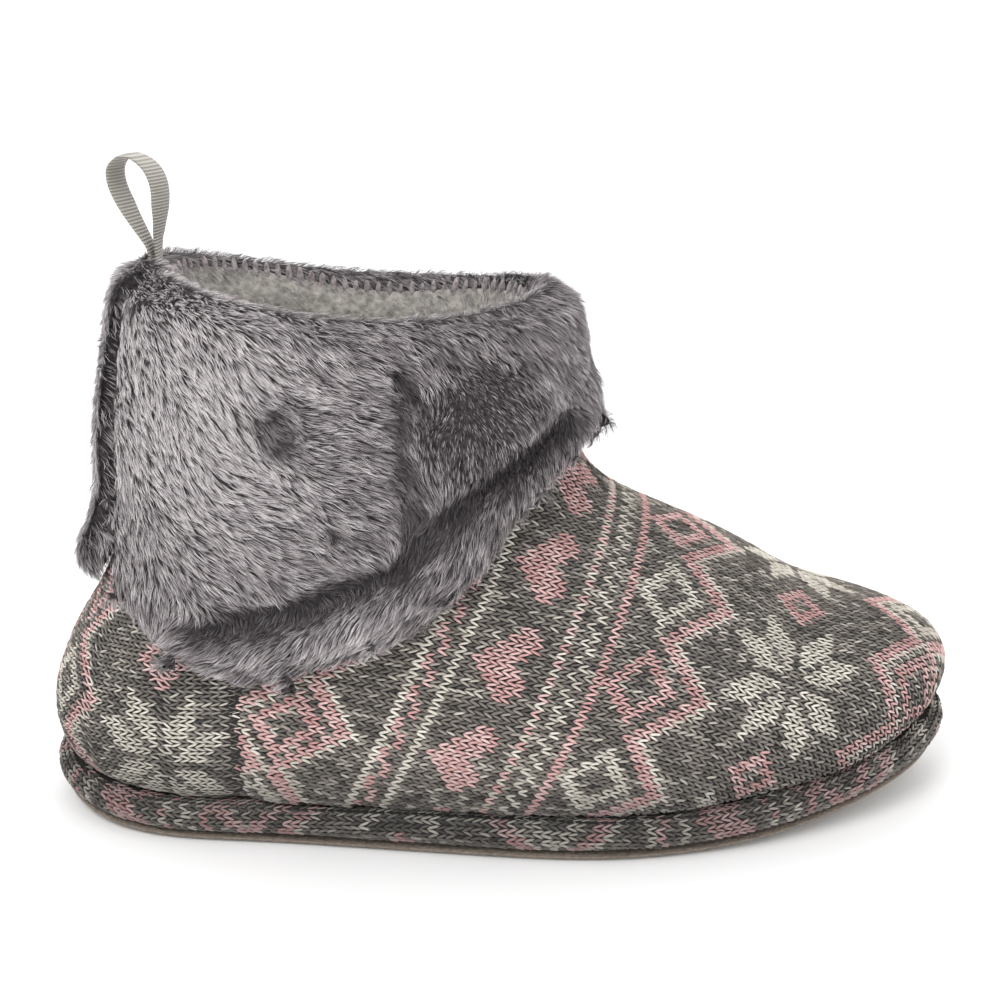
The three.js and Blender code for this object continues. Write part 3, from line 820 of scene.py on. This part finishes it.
edge_rings = [edge_ring(height) for height in np.linspace(EDGE_LOW, EDGE_HIGH, 9)]
print("points in each edge ring:", [len(ring) for ring in edge_rings])
middle_ring = np.vstack([edge_rings[4], edge_rings[4][:1]])
ring_length = lengths_along(middle_ring)
edge_count = int(ring_length[-1] / EDGE_PITCH)
edge_at = np.interp(
    np.arange(edge_count) * ring_length[-1] / edge_count, ring_length, np.arange(len(middle_ring))
)
edge_net = {}
for row, at in enumerate(edge_at):
    low = int(at) % len(ring_ways)
    high = (low + 1) % len(ring_ways)
    line = np.array([ring[low] * (1 - at % 1) + ring[high] * (at % 1) for ring in edge_rings])
    for column, point in enumerate(walk(line, COLUMN_PITCH)):
        edge_net[row, column] = point
edge_heart_row = min(
    (row for row, column in edge_net if column == 0 and edge_net[row, 0][1] < 0),
    key=lambda row: abs(edge_net[row, 0][0] - EDGE_HEART_X),
)
print("row of the edge's hearts:", edge_heart_row)


def edge_chart(row, column):
    return chart(row - edge_heart_row, column + EDGE_COLUMN)


edge_knit = stitches("midsole_stitches", edge_net, edge_chart, lambda place: True)
finished(edge_knit, "knit", yarn)

# %% [markdown]
# ## Fur
# Faux fur is a backing with dense pile. The backing is a shrunken copy of the cuff, trimmed of
# the locks that hang from its hem. The pile is made of strands: flat, bent, pointed strips that
# stand in clumps and lie down in the way the pile was brushed. A strand has three triangles, so
# that its many copies stay affordable.

# %% Backing of the fur
PILE = 2.8 * MM
VOXEL = 1.5 * MM
HEM_SPAN = 3  # bins of the hem to each side that a hanging lock may fill
FRONT_TIPS = 60  # points of locks that stand out in front
HEM_REACH = 9 * MM  # how far above its hem the backing is smoothed once more
THINNED = 0.4  # share of the backing's faces that is kept
SHAFT_MIDDLE = np.array([-0.045, 0, 0])
backing = merged_copy("cuff", "cuff_backing")
for layer in list(backing.data.uv_layers):
    backing.data.uv_layers.remove(layer)
apply_modifier(backing, "REMESH", mode="VOXEL", voxel_size=VOXEL, use_smooth_shade=True)


def hem_floor(side):
    """Height of the hem without its hanging locks, which are narrow dips in it."""
    met = hems[side] < NO_HEM
    heights = np.interp(HEM_BINS, HEM_BINS[met], hems[side][met])
    shifts = range(-HEM_SPAN, HEM_SPAN + 1)
    high = np.max([np.roll(heights, shift) for shift in shifts], axis=0)
    return np.min([np.roll(high, shift) for shift in shifts], axis=0)


trimmed = points_of(backing.data)
hem_floors = [np.interp(trimmed[:, 0], HEM_BINS, hem_floor(side)) for side in (-1, 1)]
trimmed[:, 2] = np.maximum(trimmed[:, 2], np.where(trimmed[:, 1] < 0, *hem_floors))
trimmed[:, 0] = np.minimum(trimmed[:, 0], np.sort(trimmed[:, 0])[-FRONT_TIPS])
move_points(backing.data, trimmed)
apply_modifier(backing, "SMOOTH", factor=0.5, iterations=14)

# %% Loose bits off the backing
for vertex in backing.data.vertices:
    vertex.select = False
highest = int(np.argmax(points_of(backing.data)[:, 2]))
backing.data.vertices[highest].select = True
bpy.ops.object.mode_set(mode="EDIT")
bpy.ops.mesh.select_mode(type="VERT")
bpy.ops.mesh.select_linked()
bpy.ops.mesh.select_all(action="INVERT")
bpy.ops.mesh.delete(type="VERT")  # tips of locks that the voxels cut off
bpy.ops.object.mode_set(mode="OBJECT")
hem_group = backing.vertex_groups.new(name="hem")
at_hem = ~under_cuff(points_of(backing.data), HEM_REACH)
hem_group.add(np.flatnonzero(at_hem).tolist(), 1.0, "REPLACE")
apply_modifier(backing, "SMOOTH", factor=0.5, iterations=40, vertex_group="hem")
print("points of the backing before it is thinned:", len(backing.data.vertices))

# %% [markdown]
# The main creases are placed as soft troughs and ridges along short lines on the outer
# side: the crease over the hem roll, a pucker with a fold below it, the dimple, the front lobe
# that puffs out, and a ridge on the hem.

# %% Creases
# name: line of (along the foot, height) in millimetres, depth (less than 0 for a ridge), width
CREASES = {
    "over the hem roll": (
        [(-76, 64), (-66, 66), (-56, 68), (-39, 75), (-26, 81), (-20, 88), (-14, 93), (0, 104)]
        + [(16, 113)],
        6.0,
        4.0,
    ),
    "pucker": ([(-27, 130), (-24, 126), (-17, 119)], 3.6, 2.6),
    "fold": ([(-26, 122), (-26, 108), (-23, 92)], 3.4, 4.0),
    "dimple": ([(-59, 116), (-57, 113)], 5.0, 4.8),
    "front lobe": ([(-8, 114), (4, 122)], -4.5, 14.0),
    "hem ridge": ([(-50, 60), (-40, 64), (-28, 71), (-14, 81)], -2.2, 4.0),
}


def beside(points, line):
    """Distance of each point from a line on the outer side, seen from the side."""
    place = points[:, [0, 2]]
    nearest = np.full(len(points), np.inf)
    corners = np.array(line) * MM
    for start, end in zip(corners[:-1], corners[1:]):
        way = end - start
        share = np.clip(((place - start) @ way) / (way @ way), 0, 1)
        gap = np.linalg.norm(place - start - share[:, None] * way, axis=1)
        nearest = np.minimum(nearest, gap)
    return nearest


def crease_depth(points):
    """How far the creases draw the outer side in."""
    depth = np.zeros(len(points))
    for line, deep, width in CREASES.values():
        depth += deep * MM * np.exp(-((beside(points, line) / (width * MM)) ** 2))
    return depth * (points[:, 1] < 0)


def parting(points):
    """How deep in a trough each point lies, and the way out of it along the pile."""
    step = 0.5 * MM
    depth = crease_depth(points)
    out = np.zeros_like(points)
    for axis in (0, 2):
        ahead = points + np.eye(3)[axis] * step
        out[:, axis] = (depth - crease_depth(ahead)) / step
    return np.clip(depth / (3 * MM), 0, 1.2), np.clip(out, -1, 1)


backing_points = points_of(backing.data)
backing_normals = normals_of(backing.data)
outward = unit((backing_points - SHAFT_MIDDLE) * [1, 1, 0])
facing = (backing_normals * outward).sum(1)
showing = np.clip((facing + 0.45) / 0.3, 0, 1)
outside = np.clip(facing / 0.4, 0, 1)
inset = PILE * showing + crease_depth(backing_points) * outside
move_points(backing.data, backing_points - backing_normals * inset[:, None])
apply_modifier(backing, "DECIMATE", ratio=THINNED)
skin = Finish("fur_backing", roughness=1.0)
skin_grain = skin.noise(500, 3)
skin.feed("Base Color", skin.ramp(skin_grain, [(0.3, linear("1e1b1c")), (0.7, linear("4b4547"))]))
skin.bump(skin_grain, 0.001)
finished(backing, "fur", skin, "cuff")

# %% Finish of the strands
fur = Finish("fur_strands", roughness=0.5, sheen_weight=0.1)
strand_tone, strand_along = fur.chart_map()
shaft_colour = fur.ramp(
    strand_tone,
    [(0.0, linear("5f585a")), (0.5, linear("ada4a6")), (1.0, linear("fff8f9"))],
)
root_colour = linear("221e20")
rise = fur.ramp(strand_along, [(0.0, (0, 0, 0)), (0.35, (0.35, 0.35, 0.35)), (0.9, (1, 1, 1))])
fur.feed("Base Color", fur.mix(rise, (*root_colour, 1), shaft_colour))

# %% Roots
STRANDS = 165000
CLUMPS = 26000


def scattered(obj, count, weight):
    """Random points on a mesh, with normals, denser where weight(points, normals) is higher."""
    mesh = obj.data
    mesh.calc_loop_triangles()
    flat = np.empty(len(mesh.loop_triangles) * 3, dtype=np.int32)
    mesh.loop_triangles.foreach_get("vertices", flat)
    corners = flat.reshape(-1, 3)
    points, normals = points_of(mesh), normals_of(mesh)
    a, b, c = (points[corners[:, k]] for k in range(3))
    area = np.linalg.norm(np.cross(b - a, c - a), axis=1)
    area *= weight((a + b + c) / 3, unit(normals[corners].sum(1)))
    chosen = random.choice(len(corners), size=count, p=area / area.sum())
    one, two = random.random((2, count))
    flip = one + two > 1
    one[flip], two[flip] = 1 - one[flip], 1 - two[flip]
    shares = np.stack([1 - one - two, one, two], axis=1)[..., None]
    places = (points[corners[chosen]] * shares).sum(1)
    return places, unit((normals[corners[chosen]] * shares).sum(1))


def pile_density(points, normals):
    outward = unit((points - SHAFT_MIDDLE) * [1, 1, 0])
    facing = np.maximum((normals * outward).sum(1), normals[:, 2])
    return np.clip(facing + 0.35, 0.02, 1)


roots, root_normals = scattered(backing, STRANDS, pile_density)
heads, head_normals = scattered(backing, CLUMPS, pile_density)

# %% [markdown]
# ## Brushing
# The pile lies the way a hand last stroked it. A few strokes are noted by place, as an angle
# below the way to the toe, and every strand takes a blend of the strokes near it.

# %% Strokes
# along the foot and height in millimetres, then degrees down from the way to the toe
STROKES = np.array(
    [
        (-88, 142, 50),
        (-60, 142, 42),
        (-32, 138, 32),
        (-5, 138, 60),
        (15, 132, 40),
        (-92, 112, 48),
        (-70, 116, 40),
        (-44, 118, 8),
        (-38, 104, 10),
        (-60, 95, 22),
        (-94, 88, 45),
        (-74, 78, 28),
        (-46, 84, 14),
        (-12, 112, 95),
        (8, 118, 60),
        (-98, 68, 80),
        (-80, 56, 150),
        (-60, 54, 145),
        (-40, 60, 135),
        (-22, 70, 128),
        (-8, 84, 120),
        (12, 104, 110),
    ],
    dtype=float,
)


LOBE_PLACE = (-5, 116)  # along the foot and height in millimetres
LOBE_RADIUS = 16
RIM_HEIGHT = 141  # mm, from here up the pile stands more
STAND, LOBE_STAND, RIM_STAND = 0.22, 2.4, 0.5  # how far the pile stands up
SLOW_WANDER, FAST_WANDER = 0.16, 0.14  # radians by which the lay wanders


def in_lobe(points):
    """1 within the front lobe, where the pile stands up, and 0 away from it."""
    along = points[:, 0] / MM - LOBE_PLACE[0]
    away = np.hypot(along, points[:, 2] / MM - LOBE_PLACE[1]) / LOBE_RADIUS
    return np.exp(-(away**4)) * (points[:, 1] < 0)


def lay_of(points, normals):
    """Way in which the pile lies, and how far it stands up, at each point."""
    x, z = points[:, 0], points[:, 2]
    gaps = np.hypot(x[:, None] / MM - STROKES[:, 0], z[:, None] / MM - STROKES[:, 1])
    shares = 1 / (gaps + 3) ** 4
    angles = np.radians(STROKES[:, 2])
    angle = np.arctan2(shares @ np.sin(angles), shares @ np.cos(angles))
    angle = angle + SLOW_WANDER * np.sin(90 * x + 2) * np.sin(110 * z + 1)
    angle = angle + FAST_WANDER * np.sin(260 * x + 150 * z)
    forward = unit(np.array([1.0, 0, 0]) - normals * normals[:, :1])
    down = unit(np.array([0, 0, -1.0]) + normals * normals[:, 2:])
    lay = unit(forward * np.cos(angle)[:, None] + down * np.sin(angle)[:, None])
    depth, out = parting(points)
    lay = unit(lay + out * 0.5)
    rim = np.clip((z / MM - RIM_HEIGHT) / 6, 0, 1)
    return lay, STAND + LOBE_STAND * in_lobe(points) + RIM_STAND * rim


STRAND_LENGTH = 5.0 * MM
clump_tree = KDTree(CLUMPS)
for index, head in enumerate(heads):
    clump_tree.insert(Vector(head), index)
clump_tree.balance()
clump = np.array([clump_tree.find(Vector(root))[1] for root in roots])


FIRST_PART = 0.45  # of a strand's length, up to its bend
SAG = 0.06


def bent(points, normals, lean, length):
    """Middle and tip of strands that leave their roots, and bend down onto the lay."""
    lay, stand = lay_of(points, normals)
    lay = unit(lay + lean)
    shorter = (length / (1 + 0.35 * stand))[:, None]
    first = unit(lay + normals * (stand + 0.3)[:, None])
    second = unit(lay + normals * (stand * 0.6)[:, None] - np.array([0, 0, SAG]))
    middle = points + first * shorter * FIRST_PART
    return middle, middle + second * shorter * (1 - FIRST_PART)


head_lean = random.normal(0, 0.14, (CLUMPS, 3))
head_length = STRAND_LENGTH * random.uniform(0.8, 1.15, CLUMPS)
head_middle, head_tip = bent(heads, head_normals, head_lean, head_length)
lean = head_lean[clump] + random.normal(0, 0.1, (STRANDS, 3))
length = head_length[clump] * random.uniform(0.7, 1.1, STRANDS)
middles, tips = bent(roots, root_normals, lean, length)
gather = random.uniform(0.1, 0.6, STRANDS)[:, None]
offset = (roots - heads[clump]) * 0.3
tips = tips * (1 - gather) + (head_tip[clump] + offset) * gather
middles = middles * (1 - gather * 0.4) + (head_middle[clump] + offset) * gather * 0.4

# %% Model one strand and copy it
STRAND_WIDTH = 0.14 * MM
bpy.ops.object.select_all(action="DESELECT")
bpy.ops.mesh.primitive_plane_add(size=1, location=(0, 0.5, 0))
strand = bpy.context.object
bpy.ops.object.transform_apply(location=True)
bpy.ops.object.mode_set(mode="EDIT")
bpy.ops.mesh.select_all(action="DESELECT")
bpy.ops.object.mode_set(mode="OBJECT")
for edge in strand.data.edges:
    edge.select = all(strand.data.vertices[v].co.y > 0.9 for v in edge.vertices)
bpy.ops.object.mode_set(mode="EDIT")
bpy.ops.mesh.extrude_region_move(TRANSFORM_OT_translate={"value": (0, 1, 0)})
bpy.ops.mesh.merge(type="CENTER")
bpy.ops.mesh.select_all(action="SELECT")
bpy.ops.mesh.quads_convert_to_tris()
bpy.ops.mesh.normals_make_consistent(inside=False)
bpy.ops.object.mode_set(mode="OBJECT")
strand_points, strand_faces = taken(strand)
print("one strand:", strand_points.tolist(), strand_faces.tolist())

# name: place along the foot and height in millimetres, radius, how much lighter the pile's colour
# is made;
# two are painted light: a painted shade on the front lobe and a painted highlight on the hem
# ridge
PILE_TONES_AND_PAINTED_LIGHT = {
    "combed flat behind": ((-84, 118), 38, 0.75),
    # painted shade: the front lobe's pile is darkened, for the shade between strands and the dark
    # roots seen down into it
    "front lobe, painted shade down the pile": ((-4, 115), 17, -0.25),
    "hem": ((-60, 56), 22, 0.08),
    # painted highlight: the pile's colour is lighter along the hem ridge, where it catches the
    # light
    "painted highlight on the hem ridge": ((-36, 67), 11, 0.35),
}
PATCHES = np.array([[310, 160, 490], [-270, 310, 530], [140, -290, 810], [610, 90, 330]])
patches = np.sin(heads @ PATCHES.T).sum(1)[clump]
strand_tones = 0.45 + 0.06 * patches + random.normal(0, 0.08, CLUMPS)[clump]
# painted shade: strands in the creases' troughs are darkened
strand_tones -= 0.5 * parting(roots)[0]
for (x, z), radius, lighter in PILE_TONES_AND_PAINTED_LIGHT.values():
    near = np.hypot(roots[:, 0] / MM - x, roots[:, 2] / MM - z) / radius
    strand_tones += lighter * np.exp(-(near**2)) * (roots[:, 1] < 0)
strand_spread = 0.19 + 0.28 * in_lobe(roots)
strand_tones = np.clip(strand_tones + random.normal(0, strand_spread), 0.02, 0.98)


def strand_mesh(name, chosen):
    """Copies of the strand, bent along roots, middles and tips, wide at the middle."""
    line = np.stack([roots[chosen], middles[chosen], tips[chosen]], axis=1)
    facing_way = unit(root_normals[chosen] + random.normal(0, 0.45, (len(chosen), 3)))
    wide = unit(np.cross(line[:, 2] - line[:, 0], facing_way))
    stage_of = np.rint(strand_points[:, 1]).astype(int)
    width = np.array([0.8, 1.0, 0.0])[stage_of] * strand_points[:, 0]
    points = line[:, stage_of] + wide[:, None] * (width * STRAND_WIDTH)[None, :, None]
    u = strand_tones[chosen][:, None] + 0.006 * np.sign(strand_points[:, 0])[None]
    v = np.tile(stage_of / 2, (len(chosen), 1))
    return joined_mesh(name, points, strand_faces, np.stack([u, v], axis=-1))


turn_of_root = np.arctan2(roots[:, 1] - SHAFT_MIDDLE[1], roots[:, 0] - SHAFT_MIDDLE[0])
order = np.argsort(turn_of_root, kind="stable")
PARTS = ("back_outer", "outer_front", "front_inner", "inner_back")
for part, chosen in zip(PARTS, np.array_split(order, len(PARTS))):
    finished(strand_mesh("fur_" + part, chosen), "fur", fur)

# %% [markdown]
# ## Inside: lining and insole
# The inside is short fleece. The lining is a thin skin on the shell's inner wall. The insole is
# the smoothed solid, with the same fleece.

# %% Fleece
fleece = Finish("fleece", roughness=1.0, sheen_weight=0.3)
nap = fleece.noise(420, 4)
fleece.feed("Base Color", fleece.ramp(nap, [(0.25, linear("706e69")), (0.75, linear("c2bdb5"))]))
fleece.bump(nap, 0.0012)
insole = softened("insole", "insole_fleece", 1)
finished(insole, "fleece", fleece, "insole")

lining = shell.copy()
lining.data = shell.data.copy()
lining.name = "lining"
scene.collection.objects.link(lining)
lining.data.materials.clear()
lining.parent = None
for key in ("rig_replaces", "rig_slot", "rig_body"):  # a copy carries the shell's marks
    if key in lining:
        del lining[key]
INSIDE_FRONT, INSIDE_BACK = -30 * MM, -85 * MM  # ends of the line that the inside faces
INSIDE_LOW, FOOT_TOP = 45 * MM, 70 * MM  # that line's height, and where the shaft starts
work = bmesh.new()
work.from_mesh(lining.data)
outer_faces = []
for face in work.faces:
    middle = face.calc_center_median()
    height = INSIDE_LOW if middle.z < FOOT_TOP else middle.z
    inward_axis = Vector((float(np.clip(middle.x, INSIDE_BACK, INSIDE_FRONT)), 0, height))
    if (middle - inward_axis).dot(face.normal) > -0.5 * MM:
        outer_faces.append(face)
bmesh.ops.delete(work, geom=outer_faces, context="FACES")
work.to_mesh(lining.data)
work.free()
apply_modifier(lining, "SOLIDIFY", thickness=0.8 * MM, offset=1.0)
finished(lining, "fleece", fleece)

# %% [markdown]
# ## Facing and gathered seam
# Inside the collar the fleece comes up over the edge of the fur and meets it in a gathered seam,
# seen as a row of small ribs. The facing is a sheet of points found by rays from the middle of
# the shaft. One rib is modelled and copied round the seam.

# %% Rays from inside the collar
FACING_STEPS = 120
RIM_SPAN = 4  # steps to each side over which the rim's height is levelled
FACING_DEPTHS = np.array([6.0, 8, 10.5, 13, 16, 19, 23]) * MM
FACING_GAP = 0.9 * MM
cuff_tree = tree_of(nodes["cuff"])
cuff_turns = np.arctan2(cuff_points[:, 1], cuff_points[:, 0] - SHAFT_MIDDLE[0])


def rim_height(turn):
    """Height of the fold's top near one turn round the shaft."""
    apart = np.abs((cuff_turns - turn + np.pi) % (2 * np.pi) - np.pi)
    return cuff_points[apart < 0.25][:, 2].max()


def inner_reach(turn, height):
    """Distance from the middle of the shaft to what bounds the opening."""
    start = Vector((SHAFT_MIDDLE[0], 0, height))
    way = Vector((np.cos(turn), np.sin(turn), 0))
    found = [tree.ray_cast(start, way)[3] for tree in (cuff_tree, shell_tree)]
    return min(distance for distance in found if distance is not None)


facing_turns = np.arange(FACING_STEPS) * 2 * np.pi / FACING_STEPS
rims = np.array([rim_height(turn) for turn in facing_turns])
rims = np.mean([np.roll(rims, shift) for shift in range(-RIM_SPAN, RIM_SPAN + 1)], axis=0)
heights = rims[:, None] - FACING_DEPTHS
reach = np.array(
    [[inner_reach(turn, z) for z in column] for turn, column in zip(facing_turns, heights)]
)
reach = np.median([np.roll(reach, shift, axis=0) for shift in (-2, -1, 0, 1, 2)], axis=0)
softer = reach.copy()
softer[:, 1:-1] = (reach[:, :-2] + 2 * reach[:, 1:-1] + reach[:, 2:]) / 4
reach = np.minimum(reach, softer) - FACING_GAP
ways = np.stack([np.cos(facing_turns), np.sin(facing_turns), 0 * facing_turns], axis=1)
facing_points = SHAFT_MIDDLE + ways[:, None] * reach[..., None]
facing_points = facing_points + np.array([0, 0, 1]) * heights[..., None]
print("rim between", rims.min().round(4), "and", rims.max().round(4))

# %% Facing
corner = np.arange(reach.size).reshape(reach.shape)
after = np.roll(corner, -1, axis=0)
squares = np.stack([corner[:, :-1], after[:, :-1], after[:, 1:], corner[:, 1:]], axis=-1)
facing_faces = squares.reshape(-1, 4).tolist()
facing_mesh = bpy.data.meshes.new("collar_facing")
facing_mesh.from_pydata(facing_points.reshape(-1, 3).tolist(), [], facing_faces)
facing = bpy.data.objects.new("collar_facing", facing_mesh)
scene.collection.objects.link(facing)
edit_all(facing, lambda: bpy.ops.mesh.normals_make_consistent(inside=True))
apply_modifier(facing, "SOLIDIFY", thickness=0.6 * MM, offset=0.0)
apply_modifier(facing, "SUBSURF", levels=1, render_levels=1)
bpy.ops.object.shade_smooth()
finished(facing, "fleece", fleece)

# %% Gathered seam
RIB_PITCH = 3.2 * MM
RIB_SIZE = np.array([1.6, 1.9, 5.6]) * MM  # in and out, round the collar, height
bpy.ops.object.select_all(action="DESELECT")
bpy.ops.mesh.primitive_uv_sphere_add(segments=6, ring_count=6, radius=0.5)
rib = bpy.context.object
edit_all(rib, bpy.ops.mesh.quads_convert_to_tris)
rib_points, rib_faces = taken(rib)
rib_points *= RIB_SIZE
seam_line = np.vstack([facing_points[:, 0], facing_points[:1, 0]])
seam_line = np.hstack([seam_line, np.vstack([ways, ways[:1]])])
places = walk(seam_line, RIB_PITCH)
outward = unit(places[:, 3:])
round_way = np.cross([0, 0, 1.0], outward)
size = 1 + random.normal(0, 0.12, (len(places), 1, 1))
tilt = random.normal(0.1, 0.06, (len(places), 1, 1))
shape = rib_points[None] * size
ribs = (
    places[:, None, :3]
    + (shape[..., :1] + shape[..., 2:] * tilt) * outward[:, None]
    + shape[..., 1:2] * round_way[:, None]
    + shape[..., 2:] * np.array([0, 0, 1.0])
)
gathers = Finish("gathers", roughness=1.0, sheen_weight=0.3)
gather_grain = gathers.noise(700, 3)
gathers.feed(
    "Base Color", gathers.ramp(gather_grain, [(0.3, linear("6d6464")), (0.7, linear("b3a9a9"))])
)
gathers.bump(gather_grain, 0.0008)
rib_uv = np.zeros((len(places), len(rib_points), 2))
finished(joined_mesh("gathered_seam", ribs, rib_faces, rib_uv), "fur", gathers)

# %% [markdown]
# ## Ribbon loop
# The pull loop is a folded grosgrain ribbon with ribs across it.

# %% Ribbon
ribbon = Finish("ribbon", roughness=0.6, sheen_weight=0.2)
rib_place = ribbon.place()
rib_wave = ribbon.node(
    "ShaderNodeTexWave",
    {"wave_type": "BANDS", "bands_direction": "Z"},
    {"Vector": rib_place, "Scale": 380.0, "Distortion": 0.3},
)
ribbon_stops = [(0.0, linear("8a857d")), (1.0, linear("bdb8b0"))]
ribbon.feed("Base Color", ribbon.ramp(rib_wave, ribbon_stops))
ribbon.bump(rib_wave, 0.0003)
loop = softened("pull_loop", "pull_ribbon", 1)
finished(loop, "ribbon", ribbon, "pull_loop")

# %% [markdown]
# ## Outsole
# A thin rubber sole with a fine pebbled grain.

# %% Outsole
rubber = Finish("outsole_rubber", roughness=0.8)
pebbles = rubber.node(
    "ShaderNodeTexVoronoi",
    {"feature": "SMOOTH_F1"},
    {"Vector": rubber.place(), "Scale": 900.0, "Smoothness": 0.6},
)
rubber_stops = [(0.0, linear("8f8378")), (0.8, linear("70665c"))]
rubber.feed("Base Color", rubber.ramp(pebbles, rubber_stops))
rubber.bump(1 - pebbles, 0.0003)
outsole = softened("outsole", "outsole_rubber")
finished(outsole, "outsole", rubber, "outsole")
